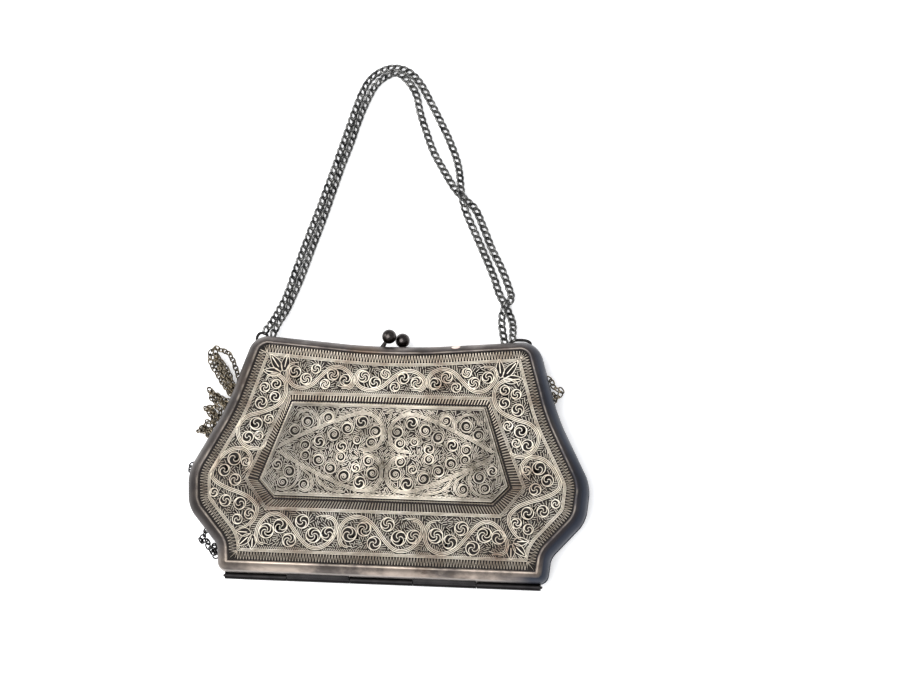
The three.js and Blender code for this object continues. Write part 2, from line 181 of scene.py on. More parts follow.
# Rims of the two halves
# Each half is framed by one strip of sheet silver, bent round the outline, domed over to a rolled bead and
# turned down to the ledge that carries the filigree. Hinge knuckles and handle eyes are soldered on.
MIDDLE_Z = 9.9
PARTING_EDGE = 1.1
EDGE_CORNERS = [
    {"x": 66.0, "y": 0.0, "radius": 3.8, "steps": 8},
    {"x": 67.0, "y": 10.6, "radius": 6.0, "steps": 6},
    {"x": 80.0, "y": 25.3, "radius": 12.0, "steps": 10},
    {"x": 81.2, "y": 40.0, "radius": 16.0, "steps": 10},
    {"x": 67.3, "y": 66.6, "radius": 70.0, "steps": 10},
    {"x": 57.8, "y": 97.0, "radius": 8.0, "steps": 12},
    {"x": 0.0, "y": 92.4, "radius": 250.0, "steps": 12},
]
# The rim's section, row by row: how far in from its edge, and how far off the middle
RIM_ROWS = [
    (0.05, 1.9), (0.2, 3.0), (0.5, 4.1), (0.9, 5.1), (1.4, 6.05), (1.9, 6.8), (2.4, 7.35), (2.9, 7.8),
    (3.2, 8.0), (3.5, 8.1), (3.8, 8.05), (4.1, 7.8), (4.12, 6.2), (6.0, 6.2),
]
# At one row the tight corners by the hinge close up, and over several the rim is narrowed and moved sideways
CORNER_CLOSES = {"at": 3.8, "within": 0.25}
INNER_EDGE = {"from": 0.9, "to": 3.8, "rows": 8, "move": 0.5, "narrow": 0.987}
RIM_SHEET = 0.8
HINGE_LENGTH = 127.0
HINGE_AXIS_Y = -1.2
KNUCKLES = 5
KNUCKLE_GAP = 0.3
BARREL = {"radius": 1.35, "bore": 0.8, "sides": 32}
TAB = {"low": 0.98, "high": 2.3, "inner_y": 0.7, "edge": 0.2}
EYES = [
    {"x": -55.8, "span": 4.4, "rise": 3.0, "edge_y": 95.6},
    {"x": 50.2, "span": 8.0, "rise": 1.9, "edge_y": 96.4},
]
EYE_WIRE = {"radius": 0.6, "sides": 12, "step": 0.4, "z": 7.0, "root": 0.6, "shoulder": 0.5}
SPLINE_STEPS = 24


def mirrored(right):
    """A whole outline from the corners of its right half."""
    return right + [{**corner, "x": -corner["x"]} for corner in reversed(right) if corner["x"] > 0]


def edit_whole(select_by, action):
    """Go into edit mode with all of the mesh selected, or none of it."""
    bpy.ops.object.mode_set(mode="EDIT")
    bpy.ops.mesh.select_mode(type=select_by)
    bpy.ops.mesh.select_all(action=action)


def rounded_face(name, corners, z):
    """One flat face with each of its corners rounded."""
    bpy.ops.object.select_all(action="DESELECT")
    bpy.ops.mesh.primitive_circle_add(vertices=len(corners), radius=1.0, fill_type="NGON")
    face = bpy.context.object
    face.name = name
    mesh = face.data
    targets = [placed(corner["x"], corner["y"], z) for corner in corners]
    for index, target in zip(list(mesh.polygons[0].vertices), targets):
        mesh.vertices[index].co = target
    for i, corner in enumerate(corners):
        back = (targets[i - 1] - targets[i]).normalized()
        onward = (targets[(i + 1) % len(corners)] - targets[i]).normalized()
        reach = corner["radius"] * MM / math.tan(back.angle(onward) / 2)
        edit_whole("VERT", "DESELECT")
        bpy.ops.object.mode_set(mode="OBJECT")
        min(mesh.vertices, key=lambda vertex: (vertex.co - targets[i]).length).select = True
        bpy.ops.object.mode_set(mode="EDIT")
        bpy.ops.mesh.bevel(offset=reach, segments=corner["steps"], profile=0.5, affect="VERTICES")
        bpy.ops.object.mode_set(mode="OBJECT")
    return face


def thickened(piece, thickness, even=False):
    """Give a sheet its thickness, inwards."""
    wall = piece.modifiers.new("sheet", "SOLIDIFY")
    wall.thickness = thickness * MM
    wall.offset = -1.0
    wall.use_even_offset = even
    bpy.ops.object.modifier_apply(modifier=wall.name)
    return piece


def rim_shell(name):
    """The rim's sheet, raised row by row from the parting edge, with its field left open."""
    shell = rounded_face(name, mirrored(EDGE_CORNERS), PARTING_EDGE)
    edit_whole("FACE", "SELECT")
    narrow = INNER_EDGE["narrow"] ** (1.0 / INNER_EDGE["rows"])
    move = INNER_EDGE["move"] / INNER_EDGE["rows"]
    last_inset, last_rise = 0.0, PARTING_EDGE
    for inset, rise in RIM_ROWS:
        bpy.ops.mesh.inset(thickness=(inset - last_inset) * MM, depth=(rise - last_rise) * MM)
        last_inset, last_rise = inset, rise
        if INNER_EDGE["from"] <= inset <= INNER_EDGE["to"]:
            bpy.ops.transform.resize(value=(narrow, 1.0, 1.0), center_override=(0.0, 0.0, 0.0))
            bpy.ops.transform.translate(value=(move * MM, 0.0, 0.0))
        if inset == CORNER_CLOSES["at"]:
            bpy.ops.mesh.remove_doubles(threshold=CORNER_CLOSES["within"] * MM)
    bpy.ops.mesh.delete(type="FACE")
    bpy.ops.object.mode_set(mode="OBJECT")
    return thickened(shell, RIM_SHEET, even=True)


def knuckle(x, length, side):
    """One bored barrel of the hinge, and the tab that carries it."""
    bpy.ops.object.select_all(action="DESELECT")
    bpy.ops.mesh.primitive_cylinder_add(
        vertices=BARREL["sides"], radius=BARREL["radius"] * MM, depth=length * MM, end_fill_type="NOTHING")
    barrel = thickened(bpy.context.object, BARREL["radius"] - BARREL["bore"])
    lying = Matrix.Rotation(math.pi / 2, 4, "Y")
    barrel.data.transform(Matrix.Translation(placed(x, HINGE_AXIS_Y, MIDDLE_Z)) @ lying)
    bpy.ops.object.select_all(action="DESELECT")
    bpy.ops.mesh.primitive_cube_add(size=1.0)
    tab = bpy.context.object
    depth = TAB["inner_y"] - HINGE_AXIS_Y
    middle = placed(x, HINGE_AXIS_Y + depth / 2, MIDDLE_Z + side * (TAB["low"] + TAB["high"]) / 2)
    size = Matrix.Diagonal((length * MM, depth * MM, (TAB["high"] - TAB["low"]) * MM, 1.0))
    tab.data.transform(Matrix.Translation(middle) @ size)
    edit_whole("EDGE", "SELECT")
    bpy.ops.mesh.bevel(offset=TAB["edge"] * MM, segments=2, affect="EDGES")
    bpy.ops.object.mode_set(mode="OBJECT")
    return [barrel, tab]


def smooth_path(points, step):
    """A smooth curve through the points, cut into even steps."""
    knots = np.array(points, float)
    knots = np.vstack([2 * knots[0] - knots[1], knots, 2 * knots[-1] - knots[-2]])
    t = np.linspace(0.0, 1.0, SPLINE_STEPS, endpoint=False)[:, None]
    runs = []
    for a, b, c, d in zip(knots, knots[1:], knots[2:], knots[3:]):
        runs.append(0.5 * (2 * b + (c - a) * t + (2 * a - 5 * b + 4 * c - d) * t ** 2
                           + (3 * b - 3 * c + d - a) * t ** 3))
    fine = np.vstack(runs + [knots[-2][None, :]])
    lengths = np.concatenate([[0.0], np.cumsum(np.linalg.norm(np.diff(fine, axis=0), axis=1))])
    count = max(2, int(round(lengths[-1] / step)) + 1)
    even = np.linspace(0.0, lengths[-1], count)
    return np.stack([np.interp(even, lengths, fine[:, i]) for i in range(fine.shape[1])], axis=1)


def frames_along(path):
    """Unit vectors along a path, level across it, and square to both."""
    along = np.gradient(path, axis=0)
    along /= np.linalg.norm(along, axis=1)[:, None]
    level = np.cross(np.array((0.0, 0.0, 1.0)), along)
    level /= np.linalg.norm(level, axis=1)[:, None]
    return along, level, np.cross(along, level)


def rings_round(path, across_path, over_path, radius, sides):
    """Points in rings of a round wire about a path."""
    angles = np.arange(sides) * math.tau / sides
    ring = (across_path[:, None, :] * np.cos(angles)[None, :, None]
            + over_path[:, None, :] * np.sin(angles)[None, :, None])
    return (path[:, None, :] + np.broadcast_to(radius, len(path))[:, None, None] * ring).reshape(-1, 3)


def tube_faces(rings, sides, closed=False, start=0):
    """Faces of a tube over rings of points; an open tube gets a cap at each end."""
    faces = []
    for i in range(rings if closed else rings - 1):
        a, b = start + i * sides, start + (i + 1) % rings * sides
        for k in range(sides):
            n = (k + 1) % sides
            faces.append((a + k, a + n, b + n, b + k))
    if not closed:
        last = start + (rings - 1) * sides
        faces.append(tuple(range(start + sides - 1, start - 1, -1)))
        faces.append(tuple(range(last, last + sides)))
    return faces


def mesh_piece(name, points_mm, faces):
    mesh = bpy.data.meshes.new(name)
    shifted = (np.asarray(points_mm) - np.array([0.0, PLAQUE_MIDDLE_Y, 0.0])) * MM
    mesh.from_pydata(shifted.tolist(), [], faces)
    mesh.update()
    piece = bpy.data.objects.new(name, mesh)
    bpy.context.collection.objects.link(piece)
    return piece


def round_wire(name, path, radius, sides):
    """A round wire along an open path; the radius may swell from point to point."""
    _, across_path, over_path = frames_along(path)
    points = rings_round(path, across_path, over_path, radius, sides)
    return mesh_piece(name, points, tube_faces(len(path), sides))


def handle_eye(eye):
    """A staple of round wire on the top edge, for one end of the handle."""
    half_span, rise = eye["span"] / 2, eye["rise"]
    shoulder = EYE_WIRE["shoulder"]
    leg = [(half_span * shoulder, rise), (half_span, rise * shoulder), (half_span, -EYE_WIRE["root"])]
    arch = [(-dx, dy) for dx, dy in reversed(leg)] + leg
    points = [(eye["x"] + dx, eye["edge_y"] + dy, EYE_WIRE["z"]) for dx, dy in arch]
    return round_wire("eye", smooth_path(points, EYE_WIRE["step"]), EYE_WIRE["radius"], EYE_WIRE["sides"])


def pick(pieces):
    """Select these pieces alone, with the first of them active."""
    bpy.ops.object.select_all(action="DESELECT")
    for piece in pieces:
        piece.select_set(True)
    bpy.context.view_layer.objects.active = pieces[0]


def joined_piece(name, parts):
    pick(parts)
    bpy.ops.object.join()
    bpy.context.object.name = name
    return bpy.context.object


def smoothed(piece, angle=40.0):
    pick([piece])
    bpy.ops.object.shade_smooth_by_angle(angle=math.radians(angle))
    return piece


def height_off_middle(material, z):
    """How far a point lies from the level where the halves meet, on either half."""
    level = add_node(material, "ShaderNodeMath", {0: z, 1: MIDDLE_Z * MM}, operation="SUBTRACT")
    height = add_node(material, "ShaderNodeMath", {0: level.outputs["Value"]}, operation="ABSOLUTE")
    return height.outputs["Value"]


def finish_metal(material, colour, wear, roughness, relief, strength, depth_mm):
    """Close a metal: its roughness follows the wear, and a fine relief stands out as a bump."""
    polish = add_node(material, "ShaderNodeMapRange", {
        "Value": wear, "From Min": 0.3, "From Max": 0.7, "To Min": roughness[0], "To Max": roughness[1],
    })
    bump = add_node(material, "ShaderNodeBump", {
        "Height": relief, "Strength": strength, "Distance": depth_mm * MM,
    }, name="relief")
    finish_material(material, add_node(material, "ShaderNodeBsdfPrincipled", {
        "Base Color": colour, "Metallic": 1.0,
        "Roughness": polish.outputs["Result"], "Normal": bump.outputs["Normal"],
    }))


# Tarnished sheet silver: brownish grey with brown stains, worn pale along the bead, dark at the left, with
# one bare chip in the top edge. Painted light makes it paler at the hinge side, with painted highlights on
# the bead and the low fold there, and painted shade makes the right wall blue-black
CHIP = {"x": 25.4, "y": 93.7, "rise": 6.2, "bare": 1.68, "radius": 2.1, "ring": 2.7}
tarnished_sheet_painted_light = new_material("tarnished sheet silver")
sheet_place = add_node(tarnished_sheet_painted_light, "ShaderNodeTexCoord").outputs["Object"]
sheet_axes = add_node(tarnished_sheet_painted_light, "ShaderNodeSeparateXYZ", {"Vector": sheet_place}).outputs
sheet_height = height_off_middle(tarnished_sheet_painted_light, sheet_axes["Z"])
from_chip = add_node(tarnished_sheet_painted_light, "ShaderNodeVectorMath", {
    0: sheet_place, 1: placed(CHIP["x"], CHIP["y"], MIDDLE_Z + CHIP["rise"]),
}, operation="DISTANCE").outputs["Value"]
sheet_marks = {}
for mark, width_mm, detail, roughness in (
    ("blotches", 14.0, 5.0, 0.6),
    ("stains", 22.0, 3.0, 0.5),
    ("rubbing", 6.0, 4.0, 0.65),
    ("scratches", 1.6, 4.0, 0.65),
):
    sheet_marks[mark] = add_node(tarnished_sheet_painted_light, "ShaderNodeTexNoise", {
        "Vector": sheet_place, "Scale": 1.0 / (width_mm * MM), "Detail": detail, "Roughness": roughness,
    }).outputs["Fac"]
# Each share: what it follows, where it starts and ends, and its strength there, which may be an earlier share
sheet_shares = {}
for share, value, start, end, low, high in (
    ("stains", sheet_marks["stains"], 0.52, 0.7, 0.0, 0.45),
    ("low patches", sheet_marks["blotches"], 0.4, 0.6, 0.1, 0.85),
    # Painted light: the hinge side of the rim is paler, in patches
    ("hinge side", sheet_axes["Y"], -38.0 * MM, -45.0 * MM, 0.0, "low patches"),
    ("left side", sheet_axes["X"], -48.0 * MM, -60.0 * MM, 0.0, 0.6),
    # Painted highlight: a pale band low on the wall along the hinge edge
    ("hinge edge", sheet_axes["Y"], -43.0 * MM, -46.0 * MM, 0.0, 0.9),
    ("fold", sheet_height, 4.8 * MM, 3.8 * MM, 0.0, "hinge edge"),
    # Painted shade: the right wall is blue-black below the dome, and about half so over the dome's top,
    # fading out by the hinge
    ("dome top shade", sheet_axes["Y"], -46.0 * MM, -38.0 * MM, 0.0, 0.55),
    ("dome", sheet_height, 7.9 * MM, 6.6 * MM, "dome top shade", 1.0),
    ("right wall", sheet_axes["X"], 44.0 * MM, 60.0 * MM, 0.0, "dome"),
    # The bead is worn pale, broken in rubbed spots, and a painted highlight makes it much paler towards the
    # hinge
    ("bead at hinge", sheet_axes["Y"], -34.0 * MM, -45.0 * MM, 0.42, 0.9),
    ("rubbed spots and highlight", sheet_marks["rubbing"], 0.42, 0.62, 0.0, "bead at hinge"),
    ("bead", sheet_height, 7.95 * MM, 8.08 * MM, 0.0, "rubbed spots and highlight"),
    ("chip ring", from_chip, CHIP["ring"] * MM, CHIP["radius"] * MM, 0.0, 0.85),
    ("chip", from_chip, CHIP["radius"] * MM, CHIP["bare"] * MM, 0.0, 1.0),
):
    sheet_shares[share] = add_node(tarnished_sheet_painted_light, "ShaderNodeMapRange", {
        "Value": value, "From Min": start, "From Max": end,
        "To Min": sheet_shares.get(low, low), "To Max": sheet_shares.get(high, high),
    }).outputs["Result"]
sheet_colour = add_node(tarnished_sheet_painted_light, "ShaderNodeValToRGB", {"Fac": sheet_marks["blotches"]}, stops=(
    (0.34, "#484341"), (0.5, "#605956"), (0.66, "#77706C"),
)).outputs["Color"]
# The hinge side's, the fold's and the bead's colours carry painted light, and the right wall's painted shade
for share, colour in (
    ("stains", "#7A6450"), ("hinge side", "#B2A396"), ("left side", "#2E2B2A"), ("fold", "#B4ADA8"),
    ("right wall", "#2F333D"), ("bead", "#968C80"), ("chip ring", "#3A2622"), ("chip", "#E8D4CA"),
):
    sheet_colour = add_node(tarnished_sheet_painted_light, "ShaderNodeMix", {
        "Factor": sheet_shares[share], "A": sheet_colour, "B": linear_colour(colour),
    }, data_type="RGBA").outputs["Result"]
finish_metal(tarnished_sheet_painted_light, sheet_colour, wear=sheet_marks["blotches"], roughness=(0.55, 0.38),
             relief=sheet_marks["scratches"], strength=0.12, depth_mm=0.25)

# Blackened silver: the handle eyes and two of the stay chains, oxidised dark and left unpolished. On the
# hinge the same near-black is painted shade
blackened_shaded = new_material("blackened silver")
_, black_colour = mottled(
    blackened_shaded, patch_mm=4.0, detail=4.0, roughness=0.6, dark="#0E0E10", light="#302E2E")
finish_material(blackened_shaded, add_node(blackened_shaded, "ShaderNodeBsdfPrincipled", {
    "Base Color": black_colour, "Metallic": 1.0, "Roughness": 0.42,
}))

half_turn = Matrix.Rotation(math.pi, 4, "Y")
to_middle = Matrix.Translation((0.0, 0.0, MIDDLE_Z * MM))
knuckle_pitch = HINGE_LENGTH / KNUCKLES
for half, side, first in (("front", 1, 1), ("back", -1, 0)):
    shell = rim_shell(half + "_rim")
    shell.data.transform(to_middle if side > 0 else to_middle @ half_turn)
    shell.data.materials.append(tarnished_sheet_painted_light)
    fittings = []
    for i in range(first, KNUCKLES, 2):
        middle_x = -HINGE_LENGTH / 2 + (i + 0.5) * knuckle_pitch
        fittings += knuckle(middle_x, knuckle_pitch - KNUCKLE_GAP, side)
    if half == "back":
        fittings += [handle_eye(eye) for eye in EYES]
    # The hinge knuckles and their tabs are painted near-black as shade; the handle eyes are blackened
    for fitting in fittings:
        fitting.data.materials.append(blackened_shaded)
    rim = smoothed(joined_piece(half + "_rim", [shell] + fittings))
    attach(rim, "root")
    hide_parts(half + "_frame")

# Hinge pin
# A plain drawn steel wire, dark with age, pushed through all the knuckles. It sits loose in them, and only
# its two ends show.

# Dark polished steel: nearly black, with a soft shine and a fine worn grain
dark_steel = new_material("dark polished steel")
steel_wear, steel_colour = mottled(
    dark_steel, patch_mm=1.2, detail=4.0, roughness=0.6, dark="#242326", light="#5A5450")
finish_metal(dark_steel, steel_colour, wear=steel_wear, roughness=(0.14, 0.34),
             relief=steel_wear, strength=0.06, depth_mm=0.15)
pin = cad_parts["hinge_pin"]
pin.data.materials.clear()
pin.data.materials.append(dark_steel)

# Panels of scrollwork
# Each half is filled by a panel of flat-rolled silver wire, set on edge and soldered to a pierced ground:
# zigzag strips inside the rim and round the plaque, and between them a band of scrolling vines and swirls.
PANEL_FACE = MIDDLE_Z + 7.5
PANEL_LOW = PANEL_FACE - 0.02
VINE_TOP = PANEL_FACE + 0.58
SWIRL_TOP = PANEL_FACE + 0.5
RIB_TOP = PANEL_FACE + 0.4
STRIP_TOP = PANEL_FACE + 0.41
INNER_RAIL = mirrored([{"x": 47.4, "y": 24.8}, {"x": 56.6, "y": 36.8}, {"x": 41.0, "y": 72.7}])
PLAQUE_CORNERS = mirrored([{"x": 43.6, "y": 30.5}, {"x": 49.6, "y": 36.9}, {"x": 38.7, "y": 68.0}])
RAILS = {"outer": (7.95, 8.4, 8.86), "inner": (0.08, 0.54, 1.0), "width": 0.22}
BAND_INSIDE = {"outer": 8.9, "inner": -0.1}
RING_STEP = 0.8
LEAST_RADIUS = 0.2
# A vine's course through a cell of the band, and the swirls of a slim and of a broad cell: how far along the
# cell, how far across it, and the radius
VINE_CHART = [
    (0.17, 0.90), (0.07, 0.86), (0.02, 0.68), (0.015, 0.42), (0.07, 0.18), (0.17, 0.06), (0.27, 0.06),
    (0.38, 0.20), (0.48, 0.47), (0.57, 0.72), (0.67, 0.90), (0.78, 0.92), (0.88, 0.80), (0.955, 0.57),
    (0.98, 0.32), (0.93, 0.12), (0.83, 0.07), (0.75, 0.12),
]
SLIM_SWIRLS = [
    (0.12, 0.62, 2.5), (0.28, 0.38, 2.45), (0.42, 0.78, 2.1), (0.67, 0.61, 2.5), (0.86, 0.42, 2.5),
    (0.56, 0.22, 2.1),
]
BROAD_SWIRLS = [
    (0.13, 0.52, 3.1), (0.30, 0.37, 3.0), (0.425, 0.74, 2.9), (0.57, 0.22, 2.9), (0.71, 0.58, 3.1),
    (0.88, 0.53, 2.9),
]
# The band's cells along the top and the hinge: three points of each long edge, and which way up the vine runs
CELLS = [
    {"low": [(-42.0, 73.9), (-28.0, 73.9), (-14.3, 73.9)],
     "high": [(-42.6, 85.6), (-28.2, 84.6), (-14.3, 83.5)], "flip": False, "swirls": SLIM_SWIRLS},
    {"low": [(-14.3, 73.9), (0.3, 73.9), (14.9, 73.9)],
     "high": [(-14.3, 83.5), (0.3, 83.0), (14.9, 83.5)], "flip": False, "swirls": SLIM_SWIRLS},
    {"low": [(14.9, 73.9), (29.0, 73.9), (43.0, 73.9)],
     "high": [(14.9, 83.5), (29.0, 84.6), (43.4, 85.8)], "flip": True, "swirls": SLIM_SWIRLS},
    {"low": [(-51.6, 9.1), (-34.2, 9.1), (-17.2, 9.1)],
     "high": [(-49.0, 24.2), (-34.2, 23.8), (-17.2, 23.8)], "flip": True, "swirls": BROAD_SWIRLS},
    {"low": [(-17.2, 9.1), (0.0, 9.1), (17.2, 9.1)],
     "high": [(-17.2, 23.8), (0.0, 23.8), (17.2, 23.8)], "flip": True, "swirls": BROAD_SWIRLS},
    {"low": [(17.2, 9.1), (34.4, 9.1), (51.9, 9.1)],
     "high": [(17.2, 23.8), (34.4, 23.8), (49.2, 24.2)], "flip": False, "swirls": BROAD_SWIRLS},
]
# The band's right side, mirrored at the left: vines, and swirls with their radii
SIDE_VINES = [
    [(51.2, 77.2), (49.9, 79.2), (46.5, 79.8), (42.8, 76.9), (42.2, 72.2), (44.8, 67.3), (50.9, 64.2),
     (56.8, 62.4), (60.1, 59.0), (60.6, 55.2), (58.4, 51.1), (54.2, 49.2), (50.2, 50.0), (49.2, 52.3)],
    [(57.7, 39.4), (54.9, 42.5), (54.7, 46.1), (57.9, 49.0), (62.5, 48.6), (66.3, 45.8), (69.1, 41.4),
     (70.0, 37.9), (67.8, 35.2), (63.0, 32.8), (58.3, 31.3), (53.8, 29.2), (50.6, 25.6), (51.2, 21.6),
     (53.9, 18.0), (57.1, 16.4)],
]
SIDE_SWIRLS = [
    (46.3, 75.7, 2.1), (50.9, 74.2, 2.2), (46.4, 70.5, 2.3), (51.9, 67.9, 2.6), (53.4, 59.4, 2.7),
    (48.3, 61.4, 2.0), (56.4, 53.8, 2.5), (51.9, 54.6, 1.9), (61.3, 44.9, 2.8), (56.6, 43.8, 1.9),
    (65.0, 40.1, 2.5), (60.3, 36.4, 2.5), (68.6, 31.0, 1.9), (63.7, 27.9, 2.5), (57.7, 26.9, 2.6),
    (53.5, 22.8, 2.2), (58.3, 20.6, 2.2),
]
# Roots and tips of the palmettes in the band's corners
PALMETTES = [
    ((-43.8, 80.0), (-49.6, 88.0)), ((44.6, 79.6), (51.0, 87.8)),
    ((-51.6, 15.4), (-57.4, 9.8)), ((51.8, 15.4), (58.0, 9.8)),
]
PALMETTE = {"leaves": 3, "fan_deg": 46.0, "shorter": 0.16, "starts_at": 0.12}
LEAF = {"width": 3.2, "foot": 0.1, "belly": 0.8, "steps": 11, "vein": (0.25, 0.85), "vein_width": 0.6,
        "vein_drop": 0.06, "room": (0.3, 0.45, 0.6), "room_share": 0.42}
WIRE_WIDTH = 0.3
WIRE_TOP = {"shoulder": 0.3, "flat": 0.2}
STEM = {"places": (-0.6, 0.0, 0.6), "taper": 7.0, "step": 0.8}
RING = {"inset": 0.18, "width": 1.25, "gap": 0.1, "fewest": 14, "per_mm": 9}
COIL = {"opening": 4.6, "inset": 0.5, "pitch": 0.5, "heart": 0.2, "step": 0.42, "width": 0.95}
ARM = {"turn": {2: 3.6, 3: 2.6, 4: 2.6}, "shrink": 0.9, "bend": 1.2, "steps": 10, "width": 1.2, "drop": 0.04}
# Each swirl is turned this far on from the last, in radians
BAND_SPIN = 1.3
SIDE_SPIN = 1.7
RIB = {"spacing": 0.42, "clear": 0.16, "longest": 1.4, "shortest": 0.7, "slant": 35.0, "reach": 3.0,
       "width": 0.32, "gap": 0.26}
RIB_STEP = 0.15
NO_SLANT = (0.6, 0.8)
GRID_STEP = 0.2
MARGIN_CELLS = 3
RIB_CELLS = 6
BLOCKED_CELLS = 4
GRID_X = (-84.0, 84.0)
GRID_Y = (0.0, 100.0)
ZIGZAG = {"outer": 4.6, "inner": 7.8, "pitch": 1.17, "width": 0.2, "nearest": 0.1}
HAIRPIN = {"outer": 1.15, "inner": -1.55, "pitch": 1.2, "first": 0.3, "width": 0.17, "apart": 0.22,
           "lean": 0.2}


def left_of(path, closed=False):
    """Unit vectors square to a flat path, to its left."""
    if closed:
        along = np.roll(path, -1, axis=0) - np.roll(path, 1, axis=0)
    else:
        along = np.gradient(path, axis=0)
    along /= np.maximum(np.linalg.norm(along, axis=1)[:, None], 1e-9)
    return np.stack([-along[:, 1], along[:, 0]], axis=1)


def polygon_inset(corners, inset):
    """The corners of an outline moved inwards, so that each side stays parallel."""
    points = np.array([(c["x"], c["y"]) for c in corners], float)
    along = np.roll(points, -1, axis=0) - points
    along /= np.linalg.norm(along, axis=1)[:, None]
    inward = np.stack([-along[:, 1], along[:, 0]], axis=1)
    before = np.roll(inward, 1, axis=0)
    share = inset / (1.0 + np.sum(before * inward, axis=1))
    return points + (before + inward) * share[:, None]


def even_ring(ring, step):
    """A closed line cut into even steps."""
    closed = np.vstack([ring, ring[:1]])
    lengths = np.concatenate([[0.0], np.cumsum(np.linalg.norm(np.diff(closed, axis=0), axis=1))])
    count = int(round(lengths[-1] / step))
    even = np.arange(count) * lengths[-1] / count
    return np.stack([np.interp(even, lengths, closed[:, i]) for i in (0, 1)], axis=1)


def edge_ring(inset, step=RING_STEP):
    """The rim's inner outline, moved inwards, with its corners rounded."""
    corners = [{**c, "x": c["x"] * INNER_EDGE["narrow"] + INNER_EDGE["move"]} for c in mirrored(EDGE_CORNERS)]
    moved = polygon_inset(corners, inset)
    ring = []
    for i, corner in enumerate(corners):
        here = moved[i]
        back = moved[i - 1] - here
        onward = moved[(i + 1) % len(corners)] - here
        back /= np.linalg.norm(back)
        onward /= np.linalg.norm(onward)
        bulges = back[0] * onward[1] - back[1] * onward[0] < 0
        radius = max(corner["radius"] - inset, LEAST_RADIUS) if bulges else corner["radius"] + inset
        half_angle = math.acos(max(-1.0, min(1.0, float(back @ onward)))) / 2
        toward = (back + onward) / np.linalg.norm(back + onward)
        centre = here + toward * radius / math.sin(half_angle)
        first = here + back * radius / math.tan(half_angle) - centre
        final = here + onward * radius / math.tan(half_angle) - centre
        start = math.atan2(first[1], first[0])
        turn_by = (math.atan2(final[1], final[0]) - start + math.pi) % math.tau - math.pi
        for share in range(corner["steps"] + 1):
            angle = start + turn_by * share / corner["steps"]
            ring.append(centre + radius * np.array([math.cos(angle), math.sin(angle)]))
    return even_ring(np.array(ring), step)


def strand(path, width, low, high, closed=False):
    return {"path": np.asarray(path, float), "width": width, "low": low, "high": high, "closed": closed}


def cell_point(cell, u, v):
    """The place in a cell of the band: u runs along it, v from its low edge to its high edge."""
    if cell["flip"]:
        v = 1.0 - v
    weights = np.array([(1 - u) * (1 - 2 * u), 4 * u * (1 - u), u * (2 * u - 1)])
    low = weights @ np.array(cell["low"])
    high = weights @ np.array(cell["high"])
    return low + (high - low) * v


def vine_strands(points, stem, width, low, top):
    """A stem of several wires side by side, each ending a little before the one outside it."""
    path = smooth_path(points, STEM["step"])
    wires = []
    for k, place in enumerate(stem["places"]):
        trim = int(stem["taper"] * k / (len(stem["places"]) * STEM["step"]))
        beside = path + left_of(path) * place
        wires.append(strand(beside[trim:len(path) - trim], width, low, top))
    return wires


def swirl(centre, radius, arms, turn_way, spin, low, top):
    """A roundel: a ring with arms curling in from it; a single arm winds up into a tight coil."""
    centre = np.array(centre)
    around = np.linspace(0.0, math.tau, max(RING["fewest"], int(radius * RING["per_mm"])), endpoint=False)
    circle = np.stack([np.cos(around), np.sin(around)], axis=1)
    ring_radius = radius - RING["inset"]
    made = [strand(centre + circle * ring_radius, WIRE_WIDTH * RING["width"], low, top, closed=True)]
    inside = ring_radius - RING["gap"]
    if arms == 1:
        width = WIRE_WIDTH * COIL["width"]
        coil_radius = inside - COIL["inset"] * radius
        windings = math.tau * (coil_radius - COIL["heart"]) / COIL["pitch"]
        turned = np.arange(0.0, COIL["opening"] + windings, COIL["step"])
        opening = inside - COIL["inset"] * radius * turned / COIL["opening"]
        winding = coil_radius - COIL["pitch"] * (turned - COIL["opening"]) / math.tau
        turns = [(turned, np.where(turned < COIL["opening"], opening, winding))]
    else:
        width = WIRE_WIDTH * ARM["width"]
        sweep = np.linspace(0.0, 1.0, ARM["steps"])
        reach = inside * (1.0 - ARM["shrink"] * sweep ** ARM["bend"])
        turns = [(arm * math.tau / arms + sweep * ARM["turn"][arms], reach) for arm in range(arms)]
    for angle, reach in turns:
        angle = spin + turn_way * angle
        spiral = np.stack([np.cos(angle), np.sin(angle)], axis=1) * reach[:, None]
        made.append(strand(centre + spiral, width, low, top - ARM["drop"]))
    return made


def leaf(root, tip, low, top):
    """A pointed leaf of two bowed wires and a vein; its room is given as circles that stay free of ribs."""
    along = tip - root
    length = np.linalg.norm(along)
    along /= length
    normal = np.array([-along[1], along[0]])
    t = np.linspace(0.0, 1.0, LEAF["steps"])
    bow = LEAF["foot"] + np.sin(math.pi * t ** LEAF["belly"]) * LEAF["width"] / 2
    made = []
    for way in (1.0, -1.0):
        path = root + along * (t * length)[:, None] + normal * (way * bow)[:, None]
        made.append(strand(path, WIRE_WIDTH, low, top))
    vein = root + along * (np.array(LEAF["vein"]) * length)[:, None]
    made.append(strand(vein, LEAF["vein_width"], low, top - LEAF["vein_drop"]))
    room_radius = LEAF["width"] * LEAF["room_share"]
    room = [(*(root + along * share * length), room_radius) for share in LEAF["room"]]
    return made, room


def ring_zigzag():
    """Legs of the zigzag wire that runs round inside the rim."""
    outer = edge_ring(ZIGZAG["outer"], ZIGZAG["pitch"])
    dense = edge_ring(ZIGZAG["inner"], ZIGZAG["nearest"])
    onward = np.roll(outer, -1, axis=0)
    halfway = (outer + onward) / 2
    nearest = np.argmin(np.linalg.norm(dense[None, :, :] - halfway[:, None, :], axis=2), axis=1)
    legs = []
    for start, inner, end in zip(outer, dense[nearest], onward):
        legs.append(strand([start, inner], ZIGZAG["width"], PANEL_LOW, STRIP_TOP))
        legs.append(strand([inner, end], ZIGZAG["width"], PANEL_LOW, STRIP_TOP))
    return legs


